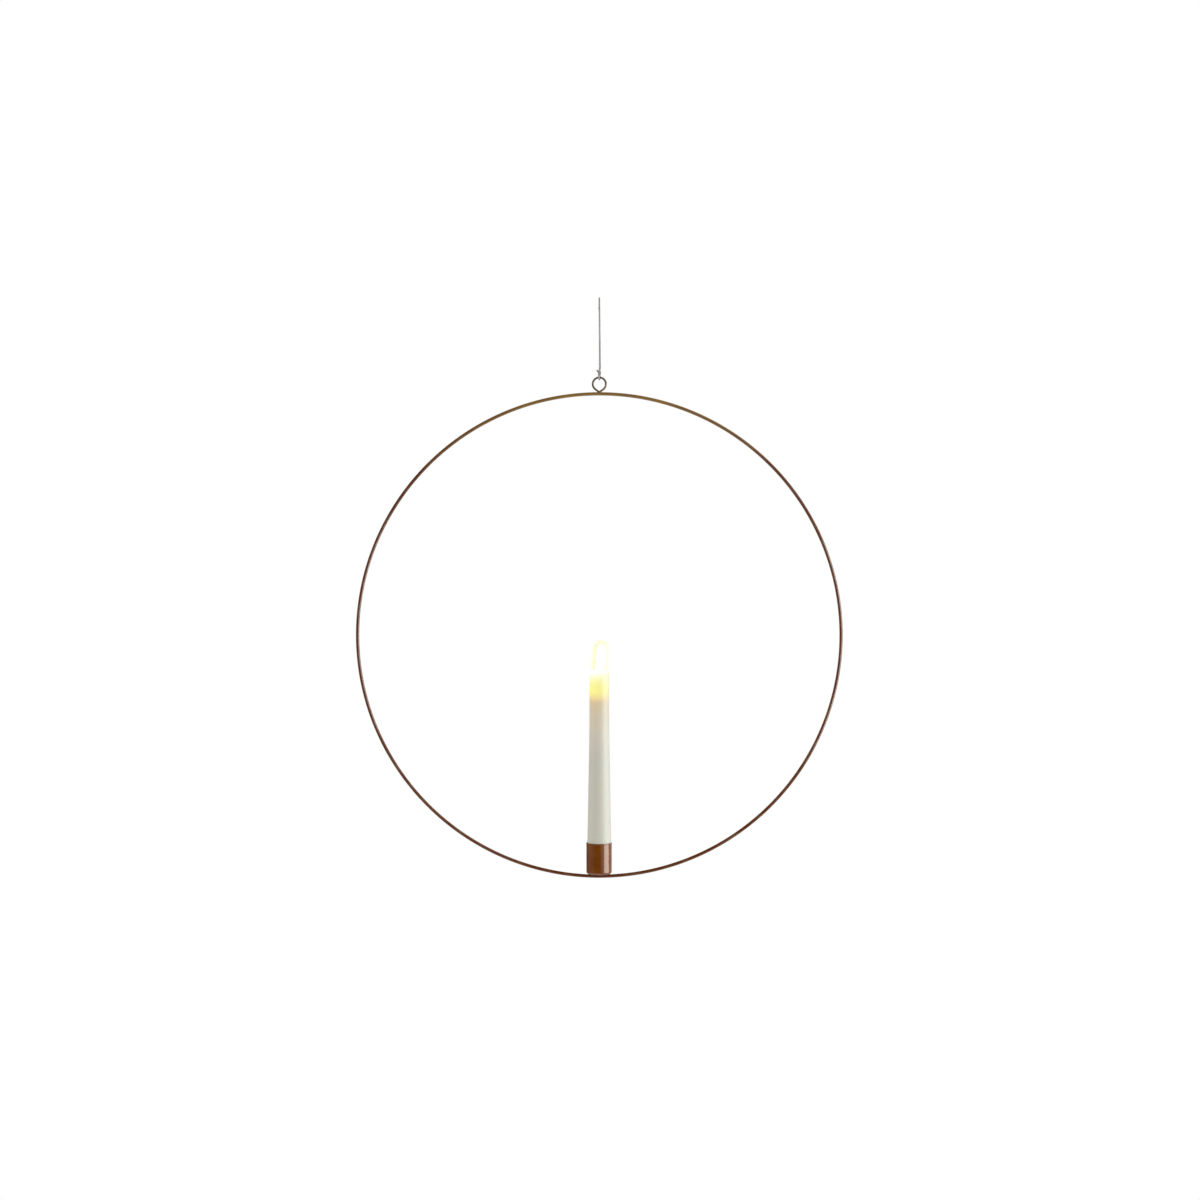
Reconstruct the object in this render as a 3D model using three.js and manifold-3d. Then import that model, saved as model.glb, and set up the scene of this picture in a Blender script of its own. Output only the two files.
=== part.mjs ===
// A hanging candle ring: a round wire hoop, an eye and a string to hang it by, and a small cup
// on the hoop that holds a battery candle. Lengths are in millimetres and +Z is up. The hoop
// lies in the XZ plane, and the origin is the point of the string's loop that a hook bears on.

import * as THREE from 'three';
import { mergeVertices } from 'three/addons/utils/BufferGeometryUtils.js';
import Module from 'manifold-3d';

// Fits
const SEAT_GAP = 0.3; // between two pieces that stand on, hang from or lie in each other
const PIN_GAP = 0.35; // round a lead or a leg in its hole

// Hoop, eye and cup
const HOOP_OUTER_D = 450;
const ROD_D = 3;
const EYE_BEND_D = 12.1; // from wire centre to wire centre
const EYE_WIRE_D = 1.9;
const EYE_LEG = 4.4; // straight wire between the rod and the round
const CUP_WALL = 0.4;
const CUP_HEIGHT = 29.2;
const CUP_CORNER_R = 2.6;
const CUP_LIP = 0.12; // how far the rolled lip stands out
const CUP_LIP_HEIGHT = 1.3;
const SADDLE_LENGTH = 9; // of the braze under the cup, along the rod
const SADDLE_WIDTH = 5.6;

// String
const STRING_D = 1.7;
const STRING_LENGTH = 55.7; // the free stretch between its two knots
const HOOK_LOOP_LENGTH = 8; // inside, from the knot to the hook
const HOOK_LOOP_WIDTH = 4.4; // inside
const TOP_KNOT_D = 2.1;
const TOP_KNOT_DEPTH = 3.9;
const HITCH_WRAPS = 3;
const WRAP_PITCH = 1.5; // the wraps are pulled into each other
const HITCH_KNOT_D = 3.05; // at the top of the knot
const HITCH_NECK_D = 2.4; // at the wire
const TAIL_LENGTH = 3.4;
const TAIL_LEAN = 39; // degrees from upright

// Candle body
const CANDLE_D = 22.2; // in the cup
const CANDLE_TOP_D = 18.3;
const CANDLE_HEIGHT = 189.7; // from its base to the wax rim
const TAPER_END = 51.7; // below the rim, where the taper has run out
const TAPER_BLEND = 16;
const WAX_WALL = 1.6;
const WAX_EDGE_R = 0.7;
const RIM_WALL = 0.6; // of wax round the flame
const FLAME_TOP_D = 15.8;
const FLAME_RISE = 27.6; // above the wax rim
const FLAME_DOME = 7; // height of its rounded end
const BLUNTNESS = 0.92; // of that end, where 1 is a half ellipse
const FLAME_WALL = 0.9;
const FLAME_SEAT_DEPTH = 5.4; // how deep its foot stands in the wax
const DECK_DEPTH = 29.4; // from the wax rim down to the deck that carries the light
const DECK_THICKNESS = 2;

// Battery tube, cells and contacts
const CELL_D = 10.5;
const CELL_HEIGHT = 44.5;
const CELL_NUB_D = 3.8;
const CELL_NUB_HEIGHT = 0.9;
const CELL_CLEARANCE = 0.35;
const TUBE_WALL = 1;
const LEDGE = 0.6; // that the board lies on
const BULKHEAD = 1.2;
const RING_THICKNESS = 1.4; // of the rings that centre the tube in the wax
const CONTACT_THICKNESS = 0.4;
const STRIP_WIDTH = 2;
const STRIP_THICKNESS = 0.3;
const STRIP_FOOT = 1.9; // length of its bent ends
const BOARD_THICKNESS = 1;
const LEAD_D = 0.9;
const LEAD_X = 2.6; // where the lead crosses the bulkhead
const LEAD_SLACK = 1.9; // how far it strays from a straight line

// Light
const LED_D = 5;
const LED_BODY_HEIGHT = 6; // below its dome
const LED_FLANGE_D = 5.8;
const LED_FLANGE_HEIGHT = 1;
const LED_LEG = 0.5;
const LED_LEG_SPACING = 2.54;
const COLLAR_HEIGHT = 1; // of the deck's collar inside the tube
const COLLAR_WALL = 0.8;
const CHIP_D = 2.8;
const CHIP_HEIGHT = 0.7;

// Battery cap and switch
const CAP_INSET = 1.1; // from the wax's outside to the cap's edge
const CAP_THICKNESS = 2.2;
const CAP_BEVEL = 0.6;
const CAP_GRIPS = 12;
const GRIP_R = 0.9;
const SKIRT_HEIGHT = 6.8;
const SKIRT_WALL = 0.9;
const LUG_HEIGHT = 1.4;
const LUG_WIDTH = 2; // along the rim
const LUG_TURN = 45; // degrees from open to locked
const SPRING_WIRE_D = 0.5;
const SPRING_HEIGHT = 4.6;
const SPRING_INSET = 0.9; // from the skirt to the spring's base
const SPRING_TIP_D = 3.4;
const SPRING_TURNS = 3.5;
const SWITCH_INSET = 0.9; // from the skirt to the switch's ends
const SWITCH_WIDTH = 3.2;
const SWITCH_HEIGHT = 3;
const SLIDER_LENGTH = 3;
const SLIDER_WIDTH = 2.6;
const SLIDER_RECESS = 0.2; // from the cap's underside up to the slider
const SLIDER_STEM = 1.2;
const STEM_REACH = 0.8; // into the switch body
const SLIDER_TRAVEL = 2.5;
const POCKET_DEPTH = 1.4;

// Places worked out from the sizes above
const hoopR = (HOOP_OUTER_D - ROD_D) / 2;
const eyeR = EYE_BEND_D / 2;
const eyeRise = ROD_D / 2 + Math.hypot(eyeR, EYE_LEG); // the eye's centre above the rod's centre
const eyeTop = eyeRise + eyeR;
const hitchR = EYE_WIRE_D / 2 + SEAT_GAP + STRING_D / 2;
const hitchKnotFoot = EYE_WIRE_D / 2 + SEAT_GAP;
const hitchHeight = hitchKnotFoot + HITCH_WRAPS * WRAP_PITCH;
const topKnotZ = -HOOK_LOOP_LENGTH - TOP_KNOT_D / 2;
const stringTop = topKnotZ - TOP_KNOT_D / 2 - SEAT_GAP;
const stringFoot = stringTop - STRING_LENGTH;
const swingZ = stringFoot - SEAT_GAP - hitchHeight; // centre of the eye's top wire
const hoopZ = swingZ - eyeTop - hoopR;

const cupBoreR = CANDLE_D / 2 + SEAT_GAP;
const cupOuterR = cupBoreR + CUP_WALL;
const cupFlatR = cupOuterR - CUP_CORNER_R;
const rodInnerR = hoopR - ROD_D / 2;
const cupZ = SEAT_GAP - Math.sqrt(rodInnerR ** 2 - cupOuterR ** 2); // from the hoop's centre
const candleZ = cupZ + CUP_WALL + SEAT_GAP;

const waxFoot = CAP_THICKNESS + SEAT_GAP;
const taperFoot = CUP_HEIGHT - CUP_WALL - SEAT_GAP;
const tubeBoreR = CELL_D / 2 + CELL_CLEARANCE;
const tubeOuterR = tubeBoreR + TUBE_WALL;
const skirtR = tubeBoreR - SEAT_GAP;
const skirtInnerR = skirtR - SKIRT_WALL;
const switchFoot = CAP_THICKNESS + SEAT_GAP;
const plateZ = switchFoot + SWITCH_HEIGHT + SEAT_GAP;
const springFoot = plateZ + CONTACT_THICKNESS + SEAT_GAP;
const cellLowerZ = springFoot + SPRING_HEIGHT + SEAT_GAP;
const cellUpperZ = cellLowerZ + CELL_HEIGHT + SEAT_GAP;
const topContactZ = cellUpperZ + CELL_HEIGHT + SEAT_GAP;
const bulkheadZ = topContactZ + CONTACT_THICKNESS + SEAT_GAP;
const ringHeights = [cellUpperZ, bulkheadZ]; // of the rings that centre the tube
const stripR = tubeOuterR - STRIP_THICKNESS; // the strip lies flush with the tube

const taperTop = CANDLE_HEIGHT - TAPER_END;
const flameSeatZ = CANDLE_HEIGHT - FLAME_SEAT_DEPTH;
const flameMouthR = CANDLE_TOP_D / 2 - RIM_WALL;
const flameFootR = flameMouthR - SEAT_GAP;
const upperBoreR = CANDLE_TOP_D / 2 - WAX_WALL;
const seatSlope = flameMouthR - upperBoreR;
const deckZ = CANDLE_HEIGHT - DECK_DEPTH; // the deck's top
const deckFoot = deckZ - DECK_THICKNESS;
const tubeTop = deckFoot - SEAT_GAP;
const collarFoot = deckFoot - COLLAR_HEIGHT;
const stripTabZ = collarFoot - SEAT_GAP - STRIP_THICKNESS;
const boardTop = stripTabZ - SEAT_GAP;
const boardZ = boardTop - BOARD_THICKNESS;
const ledgeZ = boardZ - SEAT_GAP;
const collarR = tubeBoreR - SEAT_GAP;
const collarInnerR = collarR - COLLAR_WALL;
const legHoleR = LED_LEG / 2 + PIN_GAP;
const lugZ = CAP_THICKNESS + SKIRT_HEIGHT - LUG_HEIGHT;
const stemSlot = SLIDER_STEM + SLIDER_TRAVEL + 2 * SEAT_GAP;

const roundSides = 28; // facets round the pieces that turn about the candle's axis

// Finishes
const antiqueCopper = { color: 0x8a5a34, roughness: 0.38, metalness: 0.9 };
const cottonString = { color: 0xaaaaa8, roughness: 0.95, metalness: 0 };
const ivoryWax = { color: 0xe4e2d6, roughness: 0.55, metalness: 0 };
const litPlastic = { color: 0xfff2b0, roughness: 0.4, metalness: 0 };
const whitePlastic = { color: 0xe8e8e2, roughness: 0.5, metalness: 0 };
const nickel = { color: 0xc8c8c4, roughness: 0.3, metalness: 1 };
const cellWrap = { color: 0x3b4a52, roughness: 0.35, metalness: 0.4 };
const greenBoard = { color: 0x2f6b45, roughness: 0.5, metalness: 0 };
const blackPlastic = { color: 0x1e1e20, roughness: 0.45, metalness: 0 };
const redInsulation = { color: 0xb02a24, roughness: 0.5, metalness: 0 };

const wasm = await Module();
wasm.setup();

// A closed geometry as a solid that can be joined and cut.
function toSolid(geometry) {
  const bare = geometry.clone();
  bare.deleteAttribute('normal');
  bare.deleteAttribute('uv');
  const merged = mergeVertices(bare, 1e-4);
  const vertProperties = new Float32Array(merged.attributes.position.array);
  const triVerts = new Uint32Array(merged.index.array);
  return new wasm.Manifold(new wasm.Mesh({ numProp: 3, vertProperties, triVerts }));
}

function toGeometry(solid) {
  const { vertProperties, triVerts, numProp } = solid.getMesh();
  const geometry = new THREE.BufferGeometry();
  const position = new Float32Array((vertProperties.length / numProp) * 3);
  for (let i = 0; i < position.length / 3; i++) {
    position.set(vertProperties.subarray(i * numProp, i * numProp + 3), i * 3);
  }
  geometry.setAttribute('position', new THREE.BufferAttribute(position, 3));
  geometry.setIndex(new THREE.BufferAttribute(new Uint32Array(triVerts), 1));
  geometry.computeVertexNormals();
  return geometry;
}

function join(...geometries) {
  return toGeometry(geometries.map(toSolid).reduce((whole, piece) => whole.add(piece)));
}

function cut(geometry, ...cutters) {
  return toGeometry(cutters.map(toSolid).reduce((rest, cutter) => rest.subtract(cutter), toSolid(geometry)));
}

// Turns an outline of radius and height round the Z axis.
function revolve(outline, segments, divisions = 6) {
  const points = outline.getPoints(divisions);
  return new THREE.LatheGeometry(points, segments).rotateX(Math.PI / 2);
}

function outlineOf(points) {
  return new THREE.Path(points.map(([r, z]) => new THREE.Vector2(r, z)));
}

function rod(radius, length, sides = 24) {
  return new THREE.CylinderGeometry(radius, radius, length, sides).rotateX(Math.PI / 2);
}

function block(length, width, height) {
  return new THREE.BoxGeometry(length, width, height);
}

// A round tube that follows a curve, with flat ends.
function tube(curve, radius, sides, steps) {
  const section = new THREE.Shape();
  for (let i = 0; i < sides; i++) {
    const angle = (i / sides) * 2 * Math.PI;
    section[i ? 'lineTo' : 'moveTo'](radius * Math.cos(angle), radius * Math.sin(angle));
  }
  return new THREE.ExtrudeGeometry(section, { extrudePath: curve, steps, bevelEnabled: false });
}

// A closed ring of round section about the Y axis, with a corner of its facets at the top.
function ringAboutY(ringRadius, radius, segments, sides) {
  const points = [];
  for (let i = 0; i <= sides; i++) {
    const angle = (i / sides) * 2 * Math.PI;
    points.push(new THREE.Vector2(ringRadius + radius * Math.cos(angle), radius * Math.sin(angle)));
  }
  return new THREE.LatheGeometry(points, segments);
}

function mesh(name, geometry, finish) {
  const piece = new THREE.Mesh(geometry, new THREE.MeshStandardMaterial(finish));
  piece.name = name;
  return piece;
}

// Hoop: one rod bent into a circle, its ends brazed under the cup.
function makeHoop() {
  return mesh('hoop', ringAboutY(hoopR, ROD_D / 2, 100, 10), antiqueCopper);
}

// The space that the rod takes, with the gap that a piece seated on it keeps.
function rodSpace() {
  return ringAboutY(hoopR, ROD_D / 2 + SEAT_GAP, 100, 10);
}

// One side of the eye's wire: a straight leg up from the rod, then round to the top.
class EyeSide extends THREE.Curve {
  constructor(side) {
    super();
    this.side = side;
    this.turn = Math.atan2(EYE_LEG, eyeR); // where the leg meets the round, from straight down
    this.round = (Math.PI - this.turn) * eyeR;
  }

  getPoint(t, target = new THREE.Vector3()) {
    const along = t * (EYE_LEG + this.round);
    let x = Math.cos(this.turn) * along;
    let z = ROD_D / 2 + Math.sin(this.turn) * along;
    if (along > EYE_LEG) {
      const angle = this.turn + (along - EYE_LEG) / eyeR;
      x = eyeR * Math.sin(angle);
      z = eyeRise - eyeR * Math.cos(angle);
    }
    return target.set(this.side * x, 0, z);
  }
}

// Eye: a wire bent into a round whose two ends come together on the rod, where they are brazed.
function makeEye() {
  const sides = [-1, 1].map((side) => tube(new EyeSide(side), EYE_WIRE_D / 2, 12, 20));
  const seat = rodSpace().translate(0, 0, -hoopR);
  const eye = mesh('hanging_eye', cut(join(...sides), seat), antiqueCopper);
  eye.position.z = hoopR;
  return eye;
}

// Cup: drawn from sheet, with a rolled lip, and brazed to the rod by the saddle under its floor.
function makeCup() {
  const lipR = cupOuterR + CUP_LIP;
  const innerCornerR = CUP_CORNER_R - CUP_WALL;
  const lipRound = (lipR - cupBoreR) / 2;
  const outline = new THREE.Path();
  outline.moveTo(0, 0);
  outline.lineTo(cupFlatR, 0);
  outline.absarc(cupFlatR, CUP_CORNER_R, CUP_CORNER_R, -Math.PI / 2, 0);
  outline.lineTo(cupOuterR, CUP_HEIGHT - CUP_LIP_HEIGHT);
  outline.lineTo(lipR, CUP_HEIGHT - CUP_LIP_HEIGHT + 2 * CUP_LIP);
  outline.lineTo(lipR, CUP_HEIGHT - lipRound);
  outline.absarc(cupBoreR + lipRound, CUP_HEIGHT - lipRound, lipRound, 0, Math.PI);
  outline.lineTo(cupBoreR, CUP_CORNER_R);
  outline.absarc(cupBoreR - innerCornerR, CUP_CORNER_R, innerCornerR, 0, -Math.PI / 2, true);
  outline.lineTo(0, CUP_WALL);
  const shell = revolve(outline, 36, 2);

  const saddleFoot = -(hoopR + cupZ); // level with the rod's centre
  const saddleTop = CUP_WALL / 2;
  const saddle = new THREE.CylinderGeometry(1, 0.55, saddleTop - saddleFoot, 20).rotateX(Math.PI / 2);
  saddle.scale(SADDLE_LENGTH / 2, SADDLE_WIDTH / 2, 1).translate(0, 0, (saddleTop + saddleFoot) / 2);
  const seat = rodSpace().translate(0, 0, -cupZ);
  const cup = mesh('candle_cup', cut(join(shell, saddle), seat), antiqueCopper);
  cup.position.z = cupZ;
  return cup;
}

// Hook loop: the string's upper end, turned back into a small loop and knotted.
function makeHookLoop() {
  const legY = STRING_D * 0.55; // the two legs leave the knot side by side
  const bendR = (HOOK_LOOP_WIDTH + STRING_D) / 2;
  const bendZ = STRING_D / 2 - bendR;
  const slant = bendR * Math.SQRT1_2;
  const side = [
    [legY, topKnotZ],
    [legY + 0.2, topKnotZ + TOP_KNOT_D / 2],
    [bendR, bendZ],
    [slant, bendZ + slant],
  ];
  const route = [
    ...side.map(([y, z]) => new THREE.Vector3(0, -y, z)),
    new THREE.Vector3(0, 0, STRING_D / 2),
    ...side.reverse().map(([y, z]) => new THREE.Vector3(0, y, z)),
  ];
  const loop = tube(new THREE.CatmullRomCurve3(route), STRING_D / 2, 8, 24);
  const knot = new THREE.SphereGeometry(TOP_KNOT_D / 2, 16, 10).rotateX(Math.PI / 2);
  knot.scale(1, TOP_KNOT_DEPTH / TOP_KNOT_D, 1).translate(0, 0, topKnotZ);
  return mesh('string_top_loop', join(loop, knot), cottonString);
}

// Hanging string: the free stretch between the two knots, pulled straight by the ring's weight.
function makeString() {
  const line = new THREE.LineCurve3(new THREE.Vector3(0, 0, stringFoot), new THREE.Vector3(0, 0, stringTop));
  return mesh('hanging_string', tube(line, STRING_D / 2, 8, 16), cottonString);
}

// Hitch: the string's lower end, once round the eye's wire and knotted, with its cut tail.
function makeHitch() {
  const round = ringAboutY(hitchR, STRING_D / 2, 18, 8).rotateZ(Math.PI / 2);
  const half = WRAP_PITCH / 2;
  const outline = new THREE.Path();
  outline.moveTo(0, hitchKnotFoot);
  outline.lineTo(HITCH_NECK_D / 2 - half, hitchKnotFoot);
  for (let i = 0; i < HITCH_WRAPS; i++) {
    const width = THREE.MathUtils.lerp(HITCH_NECK_D, HITCH_KNOT_D, i / (HITCH_WRAPS - 1));
    outline.absarc(width / 2 - half, hitchKnotFoot + (2 * i + 1) * half, half, -Math.PI / 2, Math.PI / 2);
  }
  outline.lineTo(0, hitchHeight);
  const knot = revolve(outline, 14, 2);

  const lean = THREE.MathUtils.degToRad(TAIL_LEAN);
  const from = new THREE.Vector3(0, 0, hitchHeight - 2 * WRAP_PITCH);
  const middle = new THREE.Vector3((STRING_D - HITCH_KNOT_D) / 2, 0, hitchHeight - WRAP_PITCH);
  const to = new THREE.Vector3(-Math.sin(lean), 0, Math.cos(lean)).multiplyScalar(TAIL_LENGTH).add(middle);
  const tail = tube(new THREE.QuadraticBezierCurve3(from, middle, to), STRING_D / 2, 8, 6);
  const hitch = mesh('string_hitch', join(round, knot, tail), cottonString);
  hitch.position.z = swingZ;
  return hitch;
}

// Radius of the wax body at a height above the candle's base.
function waxRadius(z) {
  const share = THREE.MathUtils.clamp((z - taperFoot) / (taperTop - taperFoot), 0, 1);
  return THREE.MathUtils.lerp(CANDLE_D, CANDLE_TOP_D, share) / 2;
}

// One wall of the wax body between its foot and its rim, drawn upwards.
function waxWall(outline, inset) {
  const below = taperTop - TAPER_BLEND;
  outline.lineTo(CANDLE_D / 2 - inset, taperFoot);
  outline.lineTo(waxRadius(below) - inset, below);
  const top = CANDLE_TOP_D / 2 - inset;
  outline.quadraticCurveTo(top, taperTop, top, taperTop + TAPER_BLEND);
}

// Wax shell: the tapered candle body, hollow from end to end, with a seat for the flame.
function makeWaxShell() {
  const outer = new THREE.Path();
  outer.moveTo(CANDLE_D / 2 - WAX_WALL, waxFoot);
  outer.lineTo(CANDLE_D / 2 - WAX_EDGE_R, waxFoot);
  outer.absarc(CANDLE_D / 2 - WAX_EDGE_R, waxFoot + WAX_EDGE_R, WAX_EDGE_R, -Math.PI / 2, 0);
  waxWall(outer, 0);
  const rimR = (CANDLE_TOP_D / 2 - flameMouthR) / 2;
  outer.lineTo(CANDLE_TOP_D / 2, CANDLE_HEIGHT - rimR);
  outer.absarc(flameMouthR + rimR, CANDLE_HEIGHT - rimR, rimR, 0, Math.PI);
  outer.lineTo(flameMouthR, flameSeatZ);
  outer.lineTo(upperBoreR, flameSeatZ - seatSlope);

  const inner = new THREE.Path();
  inner.moveTo(CANDLE_D / 2 - WAX_WALL, waxFoot);
  waxWall(inner, WAX_WALL);
  const points = [...outer.getPoints(3), ...inner.getPoints(3).reverse()];
  return mesh('wax_shell', new THREE.LatheGeometry(points, roundSides).rotateX(Math.PI / 2), ivoryWax);
}

// Flame: a hollow frosted cap with a blunt round end, whose neck goes down to the deck.
function makeFlame() {
  const neckR = upperBoreR - SEAT_GAP;
  const footZ = deckZ + SEAT_GAP;
  const domeFoot = CANDLE_HEIGHT + FLAME_RISE - FLAME_DOME;
  const domeSteps = 7;
  const wall = (inset) => {
    const points = [
      [neckR - inset, footZ],
      [neckR - inset, flameSeatZ - seatSlope + SEAT_GAP],
      [flameFootR - inset, flameSeatZ + SEAT_GAP],
      [flameFootR - inset, CANDLE_HEIGHT],
    ].map(([r, z]) => new THREE.Vector2(r, z));
    for (let i = 0; i <= domeSteps; i++) {
      const angle = (i / domeSteps) * (Math.PI / 2);
      const r = i < domeSteps ? (FLAME_TOP_D / 2 - inset) * Math.cos(angle) ** BLUNTNESS : 0;
      points.push(new THREE.Vector2(r, domeFoot + (FLAME_DOME - inset) * Math.sin(angle) ** BLUNTNESS));
    }
    return points;
  };
  const points = [...wall(FLAME_WALL).reverse(), ...wall(0)];
  return mesh('flame_bulb', new THREE.LatheGeometry(points, roundSides).rotateX(Math.PI / 2), litPlastic);
}

// Inner tube: holds the cells below its bulkhead and the lead above it, and is centred in the
// wax by rings. A groove down its outside takes the contact strip.
function makeInnerTube() {
  const ringR = (z) => waxRadius(z) - WAX_WALL - SEAT_GAP;
  const upperR = tubeBoreR - LEDGE;
  const outline = [
    [0, bulkheadZ],
    [tubeBoreR, bulkheadZ],
    [tubeBoreR, waxFoot],
    [ringR(waxFoot), waxFoot],
    [ringR(waxFoot), waxFoot + RING_THICKNESS],
    [tubeOuterR, waxFoot + RING_THICKNESS],
  ];
  for (const z of ringHeights) {
    const r = ringR(z + RING_THICKNESS);
    outline.push([tubeOuterR, z], [r, z], [r, z + RING_THICKNESS], [tubeOuterR, z + RING_THICKNESS]);
  }
  outline.push(
    [tubeOuterR, tubeTop],
    [tubeBoreR, tubeTop],
    [tubeBoreR, ledgeZ],
    [upperR, ledgeZ],
    [upperR, bulkheadZ + BULKHEAD],
    [0, bulkheadZ + BULKHEAD],
  );
  const body = revolve(outlineOf(outline), roundSides);
  const grooveWidth = STRIP_WIDTH + 2 * SEAT_GAP;
  const groove = block(CANDLE_D / 2, grooveWidth, 2 * tubeTop);
  groove.translate(stripR - SEAT_GAP + CANDLE_D / 4, 0, tubeTop);
  const windowHeight = STRIP_THICKNESS + 2 * SEAT_GAP;
  const window = block(4 * TUBE_WALL, grooveWidth, windowHeight);
  window.translate(tubeOuterR, 0, stripTabZ + STRIP_THICKNESS / 2);
  const leadHole = rod(LEAD_D / 2 + PIN_GAP, 3 * BULKHEAD, 12).translate(LEAD_X, 0, bulkheadZ + BULKHEAD / 2);
  return mesh('inner_tube', cut(body, groove, window, leadHole, ...lugSlots()), whitePlastic);
}

// The bent slots of the bayonet: each lug goes straight up, then turns into a level run.
function lugSlots() {
  const half = LUG_WIDTH / 2 + SEAT_GAP;
  const halfAngle = Math.asin(half / tubeOuterR);
  const turn = THREE.MathUtils.degToRad(LUG_TURN);
  const entryTop = lugZ + LUG_HEIGHT + SEAT_GAP;
  const sector = (from, to, z0, z1) => {
    const shape = new THREE.Shape();
    shape.absarc(0, 0, tubeOuterR + 1, from, to);
    shape.absarc(0, 0, tubeBoreR - 1, to, from, true);
    const options = { depth: z1 - z0, bevelEnabled: false, curveSegments: 8 };
    return new THREE.ExtrudeGeometry(shape, options).translate(0, 0, z0);
  };
  return [0, 1].flatMap((i) => {
    const locked = Math.PI / 2 + i * Math.PI;
    const open = locked + turn;
    return [
      sector(locked - halfAngle, open + halfAngle, lugZ - SEAT_GAP, entryTop),
      sector(open - halfAngle, open + halfAngle, 0, entryTop),
    ];
  });
}

// Deck: the opaque disc that closes the tube, carries the light and ends the glow in the wax.
function makeDeck() {
  const outline = outlineOf([
    [0, deckFoot],
    [collarInnerR, deckFoot],
    [collarInnerR, collarFoot],
    [collarR, collarFoot],
    [collarR, deckFoot],
    [upperBoreR - SEAT_GAP, deckFoot],
    [upperBoreR - SEAT_GAP, deckZ],
    [0, deckZ],
  ]);
  return mesh('led_deck', cut(revolve(outline, roundSides), ...legHoles()), whitePlastic);
}

// Holes for the light's two legs, through the deck and the board.
function legHoles() {
  return [-1, 1].map((side) => {
    const hole = rod(legHoleR, 3 * (deckZ - ledgeZ), 10);
    return hole.translate((side * LED_LEG_SPACING) / 2, 0, deckFoot);
  });
}

// Light: a round LED with a flange, standing on the deck on two square legs.
function makeLed() {
  const foot = deckZ + SEAT_GAP;
  const outline = new THREE.Path();
  outline.moveTo(0, foot);
  outline.lineTo(LED_FLANGE_D / 2, foot);
  outline.lineTo(LED_FLANGE_D / 2, foot + LED_FLANGE_HEIGHT);
  outline.lineTo(LED_D / 2, foot + LED_FLANGE_HEIGHT);
  outline.absarc(0, foot + LED_BODY_HEIGHT, LED_D / 2, 0, Math.PI / 2);
  const legFoot = boardZ - LED_LEG;
  const legs = [-1, 1].map((side) => {
    const leg = block(LED_LEG, LED_LEG, foot + LED_FLANGE_HEIGHT / 2 - legFoot);
    return leg.translate((side * LED_LEG_SPACING) / 2, 0, (foot + LED_FLANGE_HEIGHT / 2 + legFoot) / 2);
  });
  return mesh('led', join(revolve(outline, 24, 3), ...legs), litPlastic);
}

// Board: the round circuit board on its ledge, and the sealed chip that makes the light flicker.
function makeBoard() {
  const disc = rod(collarR, BOARD_THICKNESS, roundSides).translate(0, 0, boardZ + BOARD_THICKNESS / 2);
  return mesh('circuit_board', cut(disc, ...legHoles()), greenBoard);
}

function makeChip() {
  const outline = new THREE.Path();
  outline.moveTo(0, 0);
  outline.lineTo(CHIP_D / 2, 0);
  outline.quadraticCurveTo(CHIP_D / 2, CHIP_HEIGHT, 0, CHIP_HEIGHT);
  const chip = mesh('driver_chip', revolve(outline, 16, 4), blackPlastic);
  chip.position.set(0, (legHoleR + collarInnerR) / 2, boardTop + SEAT_GAP);
  return chip;
}

// Positive lead: up from the top contact through the bulkhead to the board, slack in the middle.
function makeLead() {
  const top = boardZ - SEAT_GAP;
  const route = [
    [0, 0, 0],
    [0, 0, 0.1],
    [-0.8, 0.5, 0.38],
    [-1, -0.5, 0.66],
    [0, 0, 0.9],
    [0, 0, 1],
  ].map(([x, y, share]) => {
    const z = THREE.MathUtils.lerp(bulkheadZ, top, share);
    return new THREE.Vector3(LEAD_X + x * LEAD_SLACK, y * LEAD_SLACK, z);
  });
  const lead = tube(new THREE.CatmullRomCurve3(route), LEAD_D / 2, 8, 24);
  return mesh('positive_lead', lead, redInsulation);
}

function makeTopContact() {
  const contact = rod(tubeBoreR - SEAT_GAP, CONTACT_THICKNESS, roundSides);
  contact.translate(0, 0, topContactZ + CONTACT_THICKNESS / 2);
  return mesh('top_contact', contact, nickel);
}

// Contact strip: runs up the groove in the tube, with a foot over the cap and a tab on the board.
function makeStrip() {
  const top = stripTabZ + STRIP_THICKNESS;
  const strip = block(STRIP_THICKNESS, STRIP_WIDTH, top - waxFoot);
  strip.translate(stripR + STRIP_THICKNESS / 2, 0, (top + waxFoot) / 2);
  const foot = block(STRIP_FOOT, STRIP_WIDTH, STRIP_THICKNESS);
  foot.translate(stripR + STRIP_FOOT / 2, 0, waxFoot + STRIP_THICKNESS / 2);
  const tab = block(STRIP_FOOT, STRIP_WIDTH, STRIP_THICKNESS);
  tab.translate(stripR + STRIP_THICKNESS - STRIP_FOOT / 2, 0, stripTabZ + STRIP_THICKNESS / 2);
  return mesh('contact_strip', join(strip, foot, tab), nickel);
}

// Cell: a dry cell with its bevelled ends and the nub of its positive pole.
function makeCell(name, z) {
  const r = CELL_D / 2;
  const canTop = CELL_HEIGHT - CELL_NUB_HEIGHT;
  const bevel = CELL_D / 16;
  const outline = outlineOf([
    [0, 0],
    [r - bevel, 0],
    [r, bevel],
    [r, canTop - bevel],
    [r - bevel, canTop],
    [CELL_NUB_D / 2, canTop],
    [CELL_NUB_D / 2, CELL_HEIGHT],
    [0, CELL_HEIGHT],
  ]);
  const cell = mesh(name, revolve(outline, roundSides), cellWrap);
  cell.position.z = z;
  return cell;
}

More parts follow.
